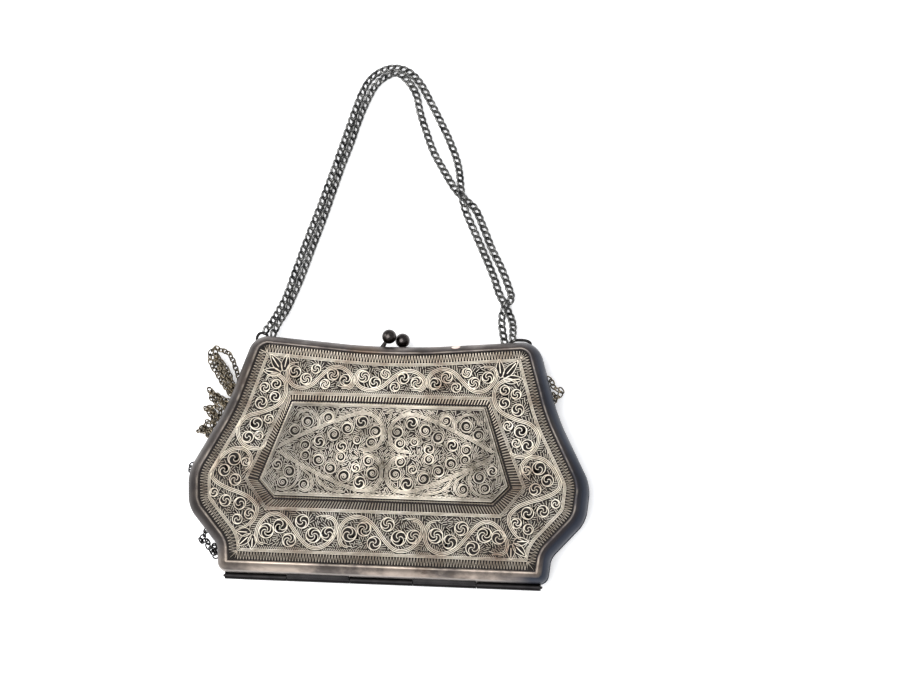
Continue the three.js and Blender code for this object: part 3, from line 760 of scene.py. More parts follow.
def sided_hairpins():
    """Rows of narrow hairpins along the straight sides round the plaque, with mitred corners."""
    outside = polygon_inset(INNER_RAIL, HAIRPIN["outer"])
    inside = polygon_inset(PLAQUE_CORNERS, HAIRPIN["inner"])
    legs = []
    for i in range(len(outside)):
        n = (i + 1) % len(outside)
        length = np.linalg.norm(outside[n] - outside[i])
        lean = HAIRPIN["lean"] / length
        for k in range(int(round(length / HAIRPIN["pitch"]))):
            for leg in (0.0, HAIRPIN["apart"]):
                t = ((k + HAIRPIN["first"]) * HAIRPIN["pitch"] + leg) / length
                foot = outside[i] + (outside[n] - outside[i]) * (t - lean)
                head = inside[i] + (inside[n] - inside[i]) * (t + lean)
                legs.append(strand([foot, head], HAIRPIN["width"], PANEL_LOW, STRIP_TOP))
    return legs


def inside_polygon(x, y, polygon):
    inside = np.zeros(x.shape, bool)
    for (x0, y0), (x1, y1) in zip(polygon, np.roll(polygon, -1, axis=0)):
        if y0 == y1:
            continue
        crosses = (y0 > y) != (y1 > y)
        inside ^= crosses & (x < (x1 - x0) * (y - y0) / (y1 - y0) + x0)
    return inside


def feather_ribs(strands, roundels, rib, low, top, field, hole=None):
    """Short ribs in what room is left between the wires, slanted off the nearest wire like a feather's."""
    xs = np.arange(*GRID_X, GRID_STEP)
    ys = np.arange(*GRID_Y, GRID_STEP)
    grid_x, grid_y = np.meshgrid(xs, ys)
    open_area = inside_polygon(grid_x, grid_y, field)
    if hole is not None:
        open_area &= ~inside_polygon(grid_x, grid_y, hole)
    room = np.where(open_area, rib["reach"], 0.0)
    span = int(rib["reach"] / GRID_STEP) + MARGIN_CELLS

    def cell_of(place):
        return int(round((place[1] - ys[0]) / GRID_STEP)), int(round((place[0] - xs[0]) / GRID_STEP))

    def take(place, clear, window):
        j, i = cell_of(place)
        rows = slice(max(0, j - window), j + window + 1)
        columns = slice(max(0, i - window), i + window + 1)
        away = np.hypot(grid_x[rows, columns] - place[0], grid_y[rows, columns] - place[1]) - clear
        room[rows, columns] = np.minimum(room[rows, columns], away)

    for wire in strands:
        path = wire["path"]
        ends = np.vstack([path, path[:1]]) if wire["closed"] else path
        for a, b in zip(ends, ends[1:]):
            pieces = max(1, int(np.linalg.norm(b - a) / (2 * GRID_STEP)))
            for k in range(pieces):
                take(a + (b - a) * k / pieces, wire["width"] / 2, span)
    for x, y, radius in roundels:
        take((x, y), radius, int((radius + rib["reach"]) / GRID_STEP) + MARGIN_CELLS)
    away_y, away_x = np.gradient(room)
    slant = math.radians(rib["slant"])
    turn_in = np.array([[math.cos(slant), -math.sin(slant)], [math.sin(slant), math.cos(slant)]])
    ribs = []
    starts = np.argwhere(room > rib["spacing"])
    for j, i in starts[(starts.sum(axis=1) % 2) == 0]:
        if room[j, i] < rib["spacing"]:
            continue
        way = turn_in @ np.array([away_x[j, i], away_y[j, i]])
        size = np.linalg.norm(way)
        way = way / size if size > 1e-6 else np.array(NO_SLANT)
        seed = np.array([grid_x[j, i], grid_y[j, i]])
        reached = []
        for sign in (-1.0, 1.0):
            gone = 0.0
            ahead_room = room[cell_of(seed + sign * way * RIB_STEP)]
            while gone < rib["longest"] and ahead_room > rib["clear"]:
                gone += RIB_STEP
                ahead_room = room[cell_of(seed + sign * way * (gone + RIB_STEP))]
            reached.append(sign * gone)
        if reached[1] - reached[0] < rib["shortest"]:
            take(seed, GRID_STEP, BLOCKED_CELLS)
            continue
        ribs.append(strand([seed + way * reached[0], seed + way * reached[1]], rib["width"], low, top))
        for along in np.arange(reached[0], reached[1] + GRID_STEP / 2, GRID_STEP):
            take(seed + way * along, (rib["width"] + rib["gap"]) / 2, RIB_CELLS)
    return ribs


def wire_mesh(name, strands):
    """One mesh of flat-rolled wires standing on edge, each with a rounded top."""
    points, faces, start = [], [], 0
    for wire in strands:
        path, width, low, high = wire["path"], wire["width"], wire["low"], wire["high"]
        shoulder = high - WIRE_TOP["shoulder"] * width
        flat = WIRE_TOP["flat"]
        section = [(-0.5, low), (0.5, low), (0.5, shoulder), (flat, high), (-flat, high), (-0.5, shoulder)]
        sideways = left_of(path, wire["closed"])
        rings = np.zeros((len(path), len(section), 3))
        for k, (share, z) in enumerate(section):
            rings[:, k, :2] = path + sideways * share * width
            rings[:, k, 2] = z
        points.append(rings.reshape(-1, 3))
        faces += tube_faces(len(path), len(section), wire["closed"], start)
        start += len(path) * len(section)
    return mesh_piece(name, np.vstack(points), faces)


band_wires = []
band_roundels = []
for number, cell in enumerate(CELLS):
    chart = [cell_point(cell, u, v) for u, v in VINE_CHART]
    band_wires += vine_strands(chart, STEM, WIRE_WIDTH, PANEL_LOW, VINE_TOP)
    for k, (u, v, radius) in enumerate(cell["swirls"]):
        first_half = k < len(cell["swirls"]) / 2
        way = 1 if first_half != cell["flip"] else -1
        arms = 3 + (k + number) % 2
        centre = cell_point(cell, u, v)
        band_wires += swirl(centre, radius, arms, way, number + BAND_SPIN * k, PANEL_LOW, SWIRL_TOP)
        band_roundels.append((centre[0], centre[1], radius))
for flip in (-1.0, 1.0):
    for chart in SIDE_VINES:
        line = [(flip * x, y) for x, y in chart]
        band_wires += vine_strands(line, STEM, WIRE_WIDTH, PANEL_LOW, VINE_TOP)
    for k, (x, y, radius) in enumerate(SIDE_SWIRLS):
        way = 1 if (k // 4 % 2 == 0) == (flip > 0) else -1
        arms = 2 + k % 2
        band_wires += swirl((flip * x, y), radius, arms, way, SIDE_SPIN * k, PANEL_LOW, SWIRL_TOP)
        band_roundels.append((flip * x, y, radius))
for root, tip in np.array(PALMETTES):
    length = np.linalg.norm(tip - root)
    heading = math.atan2(tip[1] - root[1], tip[0] - root[0])
    for k in range(PALMETTE["leaves"]):
        away = k - (PALMETTE["leaves"] - 1) / 2
        reach = length * (1.0 - PALMETTE["shorter"] * abs(away))
        angle = heading + math.radians(PALMETTE["fan_deg"]) * away
        end = root + reach * np.array([math.cos(angle), math.sin(angle)])
        wires, room = leaf(root + (end - root) * PALMETTE["starts_at"], end, PANEL_LOW, SWIRL_TOP)
        band_wires += wires
        band_roundels += room
band_wires += feather_ribs(band_wires, band_roundels, RIB, PANEL_LOW, RIB_TOP,
                           field=edge_ring(BAND_INSIDE["outer"]),
                           hole=polygon_inset(INNER_RAIL, BAND_INSIDE["inner"]))
rails = [edge_ring(inset) for inset in RAILS["outer"]]
rails += [polygon_inset(INNER_RAIL, inset) for inset in RAILS["inner"]]
band_wires += [strand(rail, RAILS["width"], PANEL_LOW, VINE_TOP, closed=True) for rail in rails]

# Oxidised silver wire: warm grey where it is rubbed bright on top, brown-black down in the work; its drawn
# grain is coarser than the real one, so that it shows
silver_wire = new_material("oxidised silver wire")
wire_place = add_node(silver_wire, "ShaderNodeTexCoord").outputs["Object"]
wire_axes = add_node(silver_wire, "ShaderNodeSeparateXYZ", {"Vector": wire_place}).outputs
rubbed = add_node(silver_wire, "ShaderNodeMapRange", {
    "Value": height_off_middle(silver_wire, wire_axes["Z"]),
    "From Min": (PANEL_FACE - MIDDLE_Z + 0.3) * MM, "From Max": (PANEL_FACE - MIDDLE_Z + 0.45) * MM,
}, name="rubbed", interpolation_type="SMOOTHSTEP")
wire_patches = add_node(silver_wire, "ShaderNodeTexNoise", {
    "Vector": wire_place, "Scale": 1.0 / (15.0 * MM), "Detail": 6.0, "Roughness": 0.72,
})
patch_ramp = add_node(silver_wire, "ShaderNodeValToRGB", {"Fac": wire_patches.outputs["Fac"]}, stops=(
    (0.32, "#9A8676"), (0.5, "#D5CCBC"), (0.68, "#EFE8DC"),
), name="patches")
# Painted light: the wire is darker towards the hinge and brighter towards the knobs, as the light falls on it
soot = add_node(silver_wire, "ShaderNodeMapRange", {
    "Value": wire_axes["Y"], "From Min": -44.0 * MM, "From Max": 40.0 * MM, "To Min": 0.8, "To Max": 1.08,
}, name="soot")
patches_with_falloff = add_node(silver_wire, "ShaderNodeMix", {
    "Factor": 1.0, "A": patch_ramp.outputs["Color"], "B": soot.outputs["Result"],
}, data_type="RGBA", blend_type="MULTIPLY")
wire_colour = add_node(silver_wire, "ShaderNodeMix", {
    "Factor": rubbed.outputs["Result"], "A": linear_colour("#16110E"), "B": patches_with_falloff.outputs["Result"],
}, data_type="RGBA")
wire_grain = add_node(silver_wire, "ShaderNodeTexNoise", {
    "Vector": wire_place, "Scale": 1.0 / (0.7 * MM), "Detail": 3.0, "Roughness": 0.6,
}).outputs["Fac"]
finish_metal(silver_wire, wire_colour.outputs["Result"], wear=wire_grain, roughness=(0.34, 0.5),
             relief=wire_grain, strength=0.1, depth_mm=0.12)


def recoloured(material, name, colours):
    """A copy of a material with other colours in its patches."""
    twin = material.copy()
    twin.name = name
    for stop, colour in zip(twin.node_tree.nodes["patches"].color_ramp.elements, colours):
        stop.color = linear_colour(colour)
    return twin


# Browner border-strip wire: painted shade towards the hinge, darker at the sides, lighter towards the knobs
border_wire = recoloured(silver_wire, "oxidised silver wire, shaded", ("#98826F", "#D4C7B5", "#EDE3D5"))
border_place = add_node(border_wire, "ShaderNodeTexCoord").outputs["Object"]
border_axes = add_node(border_wire, "ShaderNodeSeparateXYZ", {"Vector": border_place}).outputs
to_side = add_node(border_wire, "ShaderNodeMath", {0: border_axes["X"]}, operation="ABSOLUTE")
side_darkening = add_node(border_wire, "ShaderNodeMapRange", {
    "Value": to_side.outputs["Value"], "From Min": 36.0 * MM, "From Max": 60.0 * MM,
    "To Min": 1.35, "To Max": 0.66,
})
# Painted shade darkens the strips towards the hinge; at the knobs' end they are lighter in the middle and
# darker at the sides
set_sockets(border_wire, border_wire.node_tree.nodes["soot"], {
    "From Min": -20.0 * MM, "From Max": 18.0 * MM, "To Min": 0.56, "To Max": side_darkening.outputs["Result"],
})

# Black oxidised ground: the pierced sheet under the wires, sooty and dull
black_ground = new_material("black oxidised silver")
_, ground_colour = mottled(
    black_ground, patch_mm=3.0, detail=4.0, roughness=0.5, dark="#0B0908", light="#221A15")
finish_material(black_ground, add_node(black_ground, "ShaderNodeBsdfPrincipled", {
    "Base Color": ground_colour, "Metallic": 0.3, "Roughness": 0.75,
}))


def turned_over(piece, name):
    """The same piece on the back half."""
    twin = piece.copy()
    twin.data = piece.data.copy()
    twin.name = name
    twin.data.transform(to_middle @ half_turn @ to_middle.inverted())
    bpy.context.collection.objects.link(twin)
    return twin


scrollwork = wire_mesh("front_scrollwork", band_wires)
borders = wire_mesh("front_borders", ring_zigzag() + sided_hairpins())
for work, wire in ((scrollwork, silver_wire), (borders, border_wire)):
    smoothed(work).data.materials.append(wire)
    for piece in (work, turned_over(work, work.name.replace("front", "back"))):
        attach(piece, "root")
for name in ("front_panel", "back_panel"):
    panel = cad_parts[name]
    panel.data.materials.clear()
    panel.data.materials.append(black_ground)

# Plaques
# On the middle of each panel stands a six-sided plaque: a raised gallery wall, a border of fine wires, and
# two hearts laid point outwards, filled with swirls. It is soldered to the panel along its foot.
PLAQUE_FOOT = MIDDLE_Z + 7.8
PLAQUE_FACE = MIDDLE_Z + 9.9
PLAQUE_GROUND = PLAQUE_FACE - 0.55
PLAQUE_LOW = PLAQUE_GROUND - 0.02
PLAQUE_LIP = {"corner": 0.6, "steps": 4, "edge": 0.1, "drop": 0.12, "width": 0.14, "inner": 0.05}
PLAQUE_RAILS = {"insets": (0.55, 1.02), "width": 0.26, "drop": 0.02, "field": 1.15}
FOOT_WIRE = {"radius": 0.3, "swell": 0.1, "bead": 1.15, "outset": 0.45, "rise": 0.12, "step": 0.23,
             "sides": 8}
HEART_STEM = {"places": (-0.5, 0.0, 0.5), "taper": 3.0, "drop": 0.0}
CORNER_STEM = {"places": (-0.25, 0.25), "taper": 1.0, "drop": 0.03}
PLAQUE_WIRE_WIDTH = 0.28
PLAQUE_RIB = {"spacing": 0.3, "clear": 0.12, "longest": 2.0, "shortest": 0.9, "slant": 78.0, "reach": 3.0,
              "width": 0.3, "gap": 0.14}
PLAQUE_RIB_TOP = PLAQUE_FACE - 0.23
PLAQUE_SWIRL_TOP = PLAQUE_FACE - 0.05
PLAQUE_SWIRL_SIZE = 1.14
PLAQUE_SPIN = 1.1
# The plaque's right half, mirrored at the left: vines, and swirls with their radii
HEART_VINES = [
    [(44.2, 49.6), (40.0, 52.0), (34.0, 55.2), (26.2, 58.8), (18.3, 62.2), (11.0, 64.4), (6.0, 63.8),
     (2.3, 60.4), (1.4, 56.2), (2.6, 52.2), (6.0, 49.8), (10.5, 49.4)],
    [(44.2, 49.0), (36.7, 44.6), (29.6, 41.0), (21.0, 37.2), (13.6, 34.4), (8.4, 33.4), (4.2, 34.2),
     (1.3, 37.8), (1.3, 42.8), (4.0, 46.6), (9.1, 48.2)],
]
CORNER_VINES = [
    [(28.1, 57.6), (27.6, 61.0), (29.8, 63.9), (33.0, 65.0), (36.0, 63.6), (37.2, 60.9)],
    [(26.9, 59.2), (26.6, 62.6), (23.8, 64.9), (21.2, 63.2), (22.0, 60.6)],
    [(35.2, 43.4), (34.3, 38.8), (36.3, 34.5), (40.2, 32.7), (43.0, 33.2)],
    [(33.9, 42.0), (29.2, 38.2), (29.1, 34.2), (31.3, 32.5), (33.6, 33.4)],
    [(27.4, 39.4), (24.8, 35.4), (20.6, 33.2), (15.6, 32.6)],
]
PLAQUE_SWIRLS = [
    (4.4, 57.3, 2.2), (10.0, 61.0, 2.3), (15.7, 58.2, 2.2), (5.8, 52.8, 1.9), (21.0, 55.6, 2.2),
    (26.8, 52.5, 2.1), (32.4, 50.9, 1.9), (32.2, 46.9, 1.8), (26.6, 45.2, 2.1), (17.6, 50.8, 1.9),
    (17.8, 46.7, 1.8), (21.7, 42.1, 2.2), (16.0, 38.9, 2.3), (9.5, 36.6, 2.3), (4.6, 40.4, 2.2),
    (6.4, 45.4, 1.9), (11.6, 53.6, 1.5), (11.4, 42.4, 1.6), (23.7, 62.3, 1.9), (32.0, 60.4, 2.2),
    (37.0, 56.9, 2.1), (43.2, 42.8, 1.8), (38.2, 40.2, 2.2), (40.6, 35.8, 1.9), (31.9, 35.2, 1.9),
]


def plaque_body(name):
    """The plaque's gallery wall with its lip, sunk inside to the ground under the wires."""
    lip = PLAQUE_LIP
    corners = [{**corner, "radius": lip["corner"], "steps": lip["steps"]} for corner in PLAQUE_CORNERS]
    body = rounded_face(name, corners, PLAQUE_FOOT)
    edit_whole("FACE", "SELECT")
    rise = (PLAQUE_FACE - PLAQUE_FOOT) * MM - lip["drop"] * MM
    bpy.ops.mesh.extrude_region_move(TRANSFORM_OT_translate={"value": (0.0, 0.0, rise)})
    bpy.ops.mesh.inset(thickness=lip["edge"] * MM, depth=lip["drop"] * MM)
    bpy.ops.mesh.inset(thickness=lip["width"] * MM, depth=0.0)
    bpy.ops.mesh.inset(thickness=lip["inner"] * MM, depth=-(PLAQUE_FACE - PLAQUE_GROUND) * MM)
    bpy.ops.mesh.select_all(action="SELECT")
    bpy.ops.mesh.normals_make_consistent(inside=False)
    bpy.ops.object.mode_set(mode="OBJECT")
    return body


plaque_wires = []
plaque_roundels = []
for inset in PLAQUE_RAILS["insets"]:
    plaque_wires.append(strand(polygon_inset(PLAQUE_CORNERS, inset), PLAQUE_RAILS["width"], PLAQUE_LOW,
                               PLAQUE_FACE - PLAQUE_RAILS["drop"], closed=True))
for flip in (1.0, -1.0):
    for stem, charts in ((HEART_STEM, HEART_VINES), (CORNER_STEM, CORNER_VINES)):
        for chart in charts:
            line = [(flip * x, y) for x, y in chart]
            top = PLAQUE_FACE - stem["drop"]
            plaque_wires += vine_strands(line, stem, PLAQUE_WIRE_WIDTH, PLAQUE_LOW, top)
    for k, (x, y, radius) in enumerate(PLAQUE_SWIRLS):
        radius *= PLAQUE_SWIRL_SIZE
        way = 1 if (k % 2 == 0) == (flip > 0) else -1
        arms = 2 if k % 4 == 1 else 1
        spin = PLAQUE_SPIN * k
        plaque_wires += swirl((flip * x, y), radius, arms, way, spin, PLAQUE_LOW, PLAQUE_SWIRL_TOP)
        plaque_roundels.append((flip * x, y, radius))
plaque_wires += feather_ribs(plaque_wires, plaque_roundels, PLAQUE_RIB, PLAQUE_LOW, PLAQUE_RIB_TOP,
                             field=polygon_inset(PLAQUE_CORNERS, PLAQUE_RAILS["field"]))

foot_ring = even_ring(polygon_inset(PLAQUE_CORNERS, -FOOT_WIRE["outset"]), FOOT_WIRE["step"])
foot_round = np.vstack([foot_ring, foot_ring[:2]])
foot_path = np.column_stack([foot_round, np.full(len(foot_round), PLAQUE_FOOT + FOOT_WIRE["rise"])])
foot_phase = np.arange(len(foot_path)) * FOOT_WIRE["step"] * math.tau / FOOT_WIRE["bead"]
foot_radius = FOOT_WIRE["radius"] + FOOT_WIRE["swell"] * np.sin(foot_phase)

# Greener oxidised wire: the plaque's, with painted light brightest near its middle and dimmer towards its
# ends, and a grain that breaks its shine up into specks
BRIGHTEST = placed(8.0, 47.0, PLAQUE_FACE)
plaque_wire = recoloured(silver_wire, "oxidised silver wire, rubbed", ("#7C7467", "#D3CABB", "#F0E9DC"))
from_brightest = add_node(plaque_wire, "ShaderNodeVectorMath", {
    0: add_node(plaque_wire, "ShaderNodeTexCoord").outputs["Object"], 1: BRIGHTEST,
}, operation="DISTANCE")
set_sockets(plaque_wire, plaque_wire.node_tree.nodes["rubbed"], {
    "From Min": (PLAQUE_FACE - MIDDLE_Z - 0.42) * MM, "From Max": (PLAQUE_FACE - MIDDLE_Z - 0.2) * MM,
})
# Painted light: the plaque's wire is brightest round one point near its middle and dimmer away from it
set_sockets(plaque_wire, plaque_wire.node_tree.nodes["soot"], {
    "Value": from_brightest.outputs["Value"], "From Min": 46.0 * MM, "From Max": 20.0 * MM, "To Min": 0.58,
})
set_sockets(plaque_wire, plaque_wire.node_tree.nodes["relief"], {"Strength": 0.28})

body = plaque_body("front_plaque_body")
body.data.materials.append(plaque_wire)
body.data.materials.append(black_ground)
for polygon in body.data.polygons:
    if polygon.normal.z > 0.9 and polygon.center.z < (PLAQUE_FACE + PLAQUE_GROUND) / 2 * MM:
        polygon.material_index = 1
foot_wire = round_wire("foot_wire", foot_path, foot_radius, FOOT_WIRE["sides"])
foot_wire.data.materials.append(border_wire)
heart_work = wire_mesh("heart_work", plaque_wires)
heart_work.data.materials.append(plaque_wire)
front_plaque = smoothed(joined_piece("front_plaque_work", [body, foot_wire, heart_work]))
back_plaque = turned_over(front_plaque, "back_plaque_work")
for plaque, node in ((front_plaque, "front_plaque"), (back_plaque, "back_plaque")):
    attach(plaque, "root")
    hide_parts(node)

# Ball knobs of the clasp
# Two turned steel balls on thin stems, one soldered to the top edge of each half. They snap past each other
# and so hold the purse shut.
BALL = {"radius": 2.95, "rim_points": 72, "spin_steps": 48, "merge": 0.005}
STEM_RADIUS = 1.0
NECK_RADIUS = 0.65
KNOBS = [
    {"node": "front_clasp_ball", "foot": (-5.0, 92.7, 12.6), "ball": (-2.4, 97.4, 12.6)},
    {"node": "back_clasp_ball", "foot": (3.5, 92.7, 6.7), "ball": (2.5, 96.7, 8.6)},
]
for knob in KNOBS:
    foot, ball = placed(*knob["foot"]), placed(*knob["ball"])
    bpy.ops.object.select_all(action="DESELECT")
    bpy.ops.mesh.primitive_circle_add(
        vertices=BALL["rim_points"], radius=BALL["radius"] * MM, fill_type="NOTHING")
    turned = bpy.context.object
    turned.name = knob["node"].replace("_clasp_ball", "_knob")
    edit_whole("VERT", "DESELECT")
    bpy.ops.object.mode_set(mode="OBJECT")
    for vertex in turned.data.vertices:
        below_neck = vertex.co.y < 0 and vertex.co.x < NECK_RADIUS * MM
        vertex.select = vertex.co.x < -1e-7 or below_neck
    bpy.ops.object.mode_set(mode="EDIT")
    bpy.ops.mesh.delete(type="VERT")
    bpy.ops.object.mode_set(mode="OBJECT")
    neck = min(turned.data.vertices, key=lambda vertex: vertex.co.y)
    neck.select = True
    to_base = Vector((STEM_RADIUS * MM, -(ball - foot).length, 0.0)) - neck.co
    bpy.ops.object.mode_set(mode="EDIT")
    bpy.ops.mesh.extrude_region_move(TRANSFORM_OT_translate={"value": to_base})
    bpy.ops.mesh.extrude_region_move(TRANSFORM_OT_translate={"value": (-STEM_RADIUS * MM, 0.0, 0.0)})
    bpy.ops.mesh.select_all(action="SELECT")
    bpy.ops.mesh.spin(steps=BALL["spin_steps"], angle=math.tau, center=(0.0, 0.0, 0.0), axis=(0.0, 1.0, 0.0))
    bpy.ops.mesh.select_all(action="SELECT")
    bpy.ops.mesh.remove_doubles(threshold=BALL["merge"] * MM)
    bpy.ops.mesh.normals_make_consistent(inside=False)
    bpy.ops.object.mode_set(mode="OBJECT")
    lean = Vector((0.0, 1.0, 0.0)).rotation_difference(ball - foot).to_matrix().to_4x4()
    turned.data.transform(Matrix.Translation(ball) @ lean)
    smoothed(turned)
    turned.data.materials.append(dark_steel)
    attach(turned, "root")
    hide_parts(knob["node"])

# Handle chain
# Two strands of curb chain run side by side from the left eye over to the right one. Each link is an oval of
# round wire, given a twist so that the strand lies flat, and closed round the next link.
HANDLE_LINK = {"half_length": 1.78, "half_width": 1.02, "wire": 0.54, "twist": 42.0, "slant": 18.0,
               "pitch": 2.76, "steps": 22, "sides": 7}
LINK_ROUNDING = 0.85
LINK_SMOOTH_DEG = 60.0
OUTER_ROUTE = [
    (-54.6, 100.0, 6.6), (-52.4, 104.2, 5.0), (-50.6, 109.4, 2.5), (-48.5, 115.0, 1.4), (-45.8, 124.0, 1.3),
    (-41.4, 139.0, 1.3), (-37.4, 151.5, 1.3), (-33.6, 164.0, 1.3), (-29.4, 178.5, 1.3), (-26.1, 190.3, 1.3),
    (-22.7, 201.5, 1.4), (-19.6, 208.6, 1.5), (-15.0, 212.7, 1.7), (-9.2, 214.4, 1.9), (-3.0, 212.7, 1.9),
    (2.3, 207.6, 1.6), (6.5, 200.6, 1.4), (12.0, 190.7, 1.3), (16.7, 181.4, 1.3), (20.0, 173.0, 1.5),
    (21.5, 166.5, 3.0), (22.6, 160.0, 4.2), (24.2, 153.4, 3.1), (28.3, 144.5, 1.4), (33.0, 134.8, 1.3),
    (37.4, 125.2, 1.3), (39.7, 119.0, 1.3), (42.8, 113.4, 1.5), (45.4, 108.4, 2.4), (46.7, 104.2, 4.4),
    (47.0, 99.4, 6.6),
]
INNER_ROUTE = [
    (-51.4, 98.6, 6.6), (-49.8, 103.6, 5.0), (-47.6, 109.2, 2.5), (-45.6, 115.0, 1.4), (-42.1, 125.0, 1.3),
    (-38.7, 136.5, 1.3), (-35.0, 148.4, 1.3), (-31.7, 160.3, 1.3), (-28.4, 172.0, 1.3), (-25.3, 181.8, 1.3),
    (-22.5, 192.0, 1.3), (-19.4, 200.6, 1.3), (-16.2, 207.0, 1.3), (-11.6, 210.9, 1.3), (-7.2, 212.0, 1.3),
    (-2.7, 208.2, 1.3), (0.7, 203.0, 1.3), (3.0, 194.9, 1.3), (6.1, 186.4, 1.3), (9.6, 178.0, 1.3),
    (14.2, 170.3, 1.3), (19.2, 162.6, 1.3), (23.6, 158.2, 1.3), (28.2, 154.0, 1.3), (32.0, 146.3, 1.3),
    (36.0, 137.3, 1.3), (40.4, 129.0, 1.3), (43.8, 121.0, 1.6), (45.2, 116.3, 3.2), (43.2, 112.9, 4.4),
    (42.0, 108.2, 4.9), (42.5, 103.0, 5.8), (43.8, 97.6, 6.6),
]
# The stretch at the top where the outer strand stands half on edge
APEX = {"middle": 0.46, "half": 0.06, "tilt": 55.0}


def link_shape(link):
    """Corner points of one oval link about its own middle, and the faces between them."""
    t = np.arange(link["steps"]) * math.tau / link["steps"]
    x = link["half_length"] * np.sign(np.cos(t)) * np.abs(np.cos(t)) ** LINK_ROUNDING
    y = link["half_width"] * np.sign(np.sin(t)) * np.abs(np.sin(t)) ** LINK_ROUNDING
    twist = math.radians(link["twist"]) * x / link["half_length"]
    slant = math.radians(link["slant"])
    flat = y * np.cos(twist)
    line = np.stack([
        x * math.cos(slant) - flat * math.sin(slant),
        x * math.sin(slant) + flat * math.cos(slant),
        y * np.sin(twist),
    ], axis=1)
    along = np.roll(line, -1, axis=0) - np.roll(line, 1, axis=0)
    along /= np.linalg.norm(along, axis=1)[:, None]
    outward = line - along * np.sum(line * along, axis=1)[:, None]
    outward /= np.linalg.norm(outward, axis=1)[:, None]
    points = rings_round(line, outward, np.cross(along, outward), link["wire"], link["sides"])
    return points, tube_faces(link["steps"], link["sides"], closed=True)


def chain_piece(name, routes, link, tilt_at):
    """Links set along one or more routes; tilt_at gives a link's turn about the route, in degrees."""
    shape, shape_faces = link_shape(link)
    points, faces = [], []
    for route in routes:
        path = smooth_path(route, link["pitch"])
        for i, (along, level, over) in enumerate(zip(*frames_along(path))):
            tilt = math.radians(tilt_at(i, len(path)))
            side = math.cos(tilt) * level + math.sin(tilt) * over
            top = -math.sin(tilt) * level + math.cos(tilt) * over
            base = len(points) * len(shape)
            points.append(path[i] + shape @ np.stack([along, side, top]))
            faces += [tuple(base + v for v in face) for face in shape_faces]
    return smoothed(mesh_piece(name, np.vstack(points), faces), LINK_SMOOTH_DEG)


def apex_tilt(i, count):
    away = (i / count - APEX["middle"]) / APEX["half"]
    return APEX["tilt"] * max(0.0, 1.0 - away ** 2)


def no_tilt(i, count):
    return 0.0


# Gunmetal-dark chain: tarnished nearly black in patches, and worn to grey between them
dark_chain = new_material("tarnished chain silver")
chain_wear = add_node(dark_chain, "ShaderNodeTexNoise", {
    "Vector": add_node(dark_chain, "ShaderNodeTexCoord").outputs["Object"],
    "Scale": 1.0 / (2.5 * MM), "Detail": 4.0, "Roughness": 0.65,
}).outputs["Fac"]
chain_ramp = add_node(dark_chain, "ShaderNodeValToRGB", {"Fac": chain_wear}, stops=(
    (0.35, "#1E1F21"), (0.7, "#8C8B88"),
), name="patches")
finish_metal(dark_chain, chain_ramp.outputs["Color"], wear=chain_wear, roughness=(0.4, 0.22),
             relief=chain_wear, strength=0.1, depth_mm=0.15)
for name, route, tilt_rule in (
    ("handle_chain_outer", OUTER_ROUTE, apex_tilt),
    ("handle_chain_inner", INNER_ROUTE, no_tilt),
):
    handle = chain_piece(name + "_links", [route], HANDLE_LINK, tilt_rule)
    handle.data.materials.append(dark_chain)
    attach(handle, "root")
    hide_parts(name)

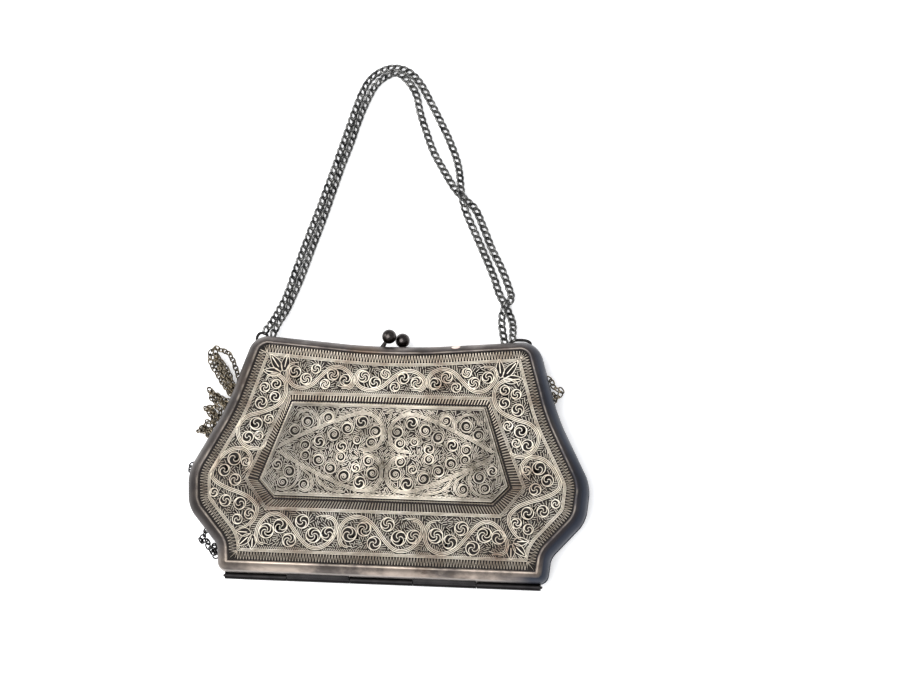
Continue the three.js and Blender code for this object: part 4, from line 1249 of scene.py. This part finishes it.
# Stay chains
# Fine trace chain that keeps the halves from falling wide open. It is fixed inside; where it has slipped out
# between the halves it hangs in small loops at both sides.
STAY_LINK = {"half_length": 1.35, "half_width": 1.05, "wire": 0.31, "twist": 0.0, "slant": 0.0,
             "pitch": 2.0, "steps": 16, "sides": 6}
STAY_TILT_DEG = 45.0
STAY_ROUTES = {
    "stay_chain_left_1": [[
        (-59.9, 76.4, 9.9), (-62.9, 77.5, 9.9), (-64.0, 79.9, 9.5), (-65.7, 83.6, 8.5), (-67.3, 86.9, 7.5),
        (-70.0, 90.4, 6.0), (-72.9, 91.4, 5.0), (-75.9, 92.6, 4.0), (-78.4, 90.3, 2.0), (-77.5, 86.0, 2.0),
        (-74.6, 82.1, 3.0), (-72.1, 78.5, 5.0), (-69.0, 75.1, 8.0), (-66.2, 71.9, 9.9), (-63.4, 70.8, 9.9),
    ]],
    "stay_chain_left_2": [[
        (-75.8, 91.2, 4.0), (-75.3, 88.3, 4.0), (-73.3, 84.6, 5.0), (-71.4, 81.6, 6.0), (-68.9, 78.0, 8.0),
        (-65.8, 73.7, 9.9), (-63.0, 72.6, 9.9),
    ], [
        (-74.8, 89.3, 5.0), (-72.7, 86.8, 6.0), (-70.2, 84.0, 7.0), (-68.2, 81.0, 8.0), (-66.9, 77.9, 9.0),
        (-64.7, 75.2, 9.9), (-61.9, 74.3, 9.9),
    ], [
        (-76.9, 88.6, 2.6), (-75.6, 85.6, 2.8), (-73.6, 82.9, 3.6), (-71.5, 79.8, 5.2), (-68.8, 76.4, 7.6),
        (-66.0, 72.8, 9.7), (-63.4, 71.8, 9.7),
    ], [
        (-74.4, 88.0, 3.4), (-72.8, 85.4, 4.4), (-70.6, 82.4, 5.6), (-68.4, 79.0, 7.4), (-66.0, 75.4, 9.4),
        (-63.6, 74.0, 9.6),
    ]],
    "stay_chain_left_3": [[
        (-77.2, 75.1, 3.0), (-76.5, 73.2, 3.0), (-75.5, 71.0, 4.0), (-72.8, 69.7, 6.0), (-70.2, 68.7, 8.0),
        (-68.1, 66.1, 9.9), (-65.2, 65.2, 9.9),
    ], [
        (-77.0, 75.3, 3.4), (-74.5, 73.2, 5.0), (-71.9, 72.0, 7.0), (-69.6, 70.5, 9.0), (-66.4, 69.7, 9.9),
        (-63.6, 69.2, 9.9),
    ], [
        (-72.7, 72.2, 6.0), (-71.2, 70.0, 7.0), (-69.1, 68.0, 9.0), (-67.9, 66.9, 9.9),
    ], [
        (-75.6, 73.6, 2.6), (-73.6, 71.6, 3.6), (-71.2, 70.4, 5.4), (-68.6, 69.4, 7.6), (-66.2, 67.6, 9.4),
        (-63.8, 67.0, 9.6),
    ]],
    "stay_chain_left_4": [[
        (-77.9, 67.5, 3.0), (-74.7, 68.0, 5.0), (-71.8, 67.2, 7.0), (-70.8, 64.6, 8.0), (-70.8, 62.1, 9.0),
        (-69.2, 61.1, 9.9), (-66.4, 60.4, 9.9),
    ], [
        (-77.9, 67.3, 3.4), (-76.3, 65.2, 4.0), (-74.2, 63.1, 6.0), (-72.9, 60.8, 8.0), (-71.1, 59.0, 9.9),
        (-68.4, 58.2, 9.9),
    ], [
        (-74.8, 66.4, 4.0), (-73.0, 64.0, 6.0), (-71.0, 62.1, 9.0), (-69.4, 60.6, 9.9),
    ], [
        (-76.6, 67.0, 2.8), (-74.2, 65.4, 4.2), (-72.4, 63.6, 6.2), (-70.6, 61.4, 8.6), (-68.6, 59.8, 9.5),
    ]],
    "stay_chain_left_5": [[
        (-80.3, 58.4, 3.0), (-77.9, 59.9, 5.0), (-75.8, 61.5, 7.0), (-73.9, 60.0, 9.0), (-72.8, 58.4, 9.9),
        (-70.2, 57.6, 9.9),
    ], [
        (-80.2, 58.2, 3.4), (-77.9, 57.7, 5.0), (-75.4, 55.8, 8.0), (-73.7, 54.4, 9.9), (-71.0, 53.6, 9.9),
    ], [
        (-77.6, 59.4, 5.0), (-76.1, 58.1, 6.0), (-73.8, 57.1, 9.0), (-73.0, 56.7, 9.9),
    ], [
        (-79.0, 58.4, 2.6), (-77.0, 59.2, 4.2), (-75.2, 58.0, 6.2), (-73.4, 56.2, 8.6), (-71.4, 55.4, 9.5),
    ]],
    "stay_chain_left_6": [[
        (-77.4, 45.0, 9.9), (-80.3, 43.4, 9.0), (-81.6, 41.1, 8.0), (-79.8, 40.6, 9.4), (-77.0, 40.6, 9.9),
    ]],
    "stay_chain_left_7": [[
        (-72.4, 16.6, 9.9), (-75.3, 12.7, 6.0), (-72.6, 13.0, 7.0), (-72.3, 10.8, 6.0), (-70.3, 8.7, 7.0),
        (-68.2, 6.6, 8.0), (-69.4, 11.0, 8.0), (-66.6, 7.6, 9.9), (-64.2, 8.0, 9.9),
    ]],
    "stay_chain_right_1": [[
        (60.6, 82.6, 9.9), (63.6, 81.9, 9.9), (64.4, 79.6, 9.0), (66.3, 78.4, 7.0), (67.8, 78.3, 6.0),
        (66.4, 75.6, 7.0), (64.9, 76.6, 8.0), (66.0, 73.9, 9.5), (63.2, 72.6, 9.9),
    ]],
}
BLACK_STAYS = ("stay_chain_left_6", "stay_chain_left_7")


def stay_tilt(i, count):
    return STAY_TILT_DEG if i % 2 else -STAY_TILT_DEG


# Brown-tarnished fine chain: the same silver, yellowed and dull
brown_chain = recoloured(dark_chain, "brown tarnished fine chain", ("#34302A", "#A99C86"))
for name, routes in STAY_ROUTES.items():
    stay = chain_piece(name + "_links", routes, STAY_LINK, stay_tilt)
    stay.data.materials.append(blackened_shaded if name in BLACK_STAYS else brown_chain)
    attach(stay, "root")
    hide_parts(name)
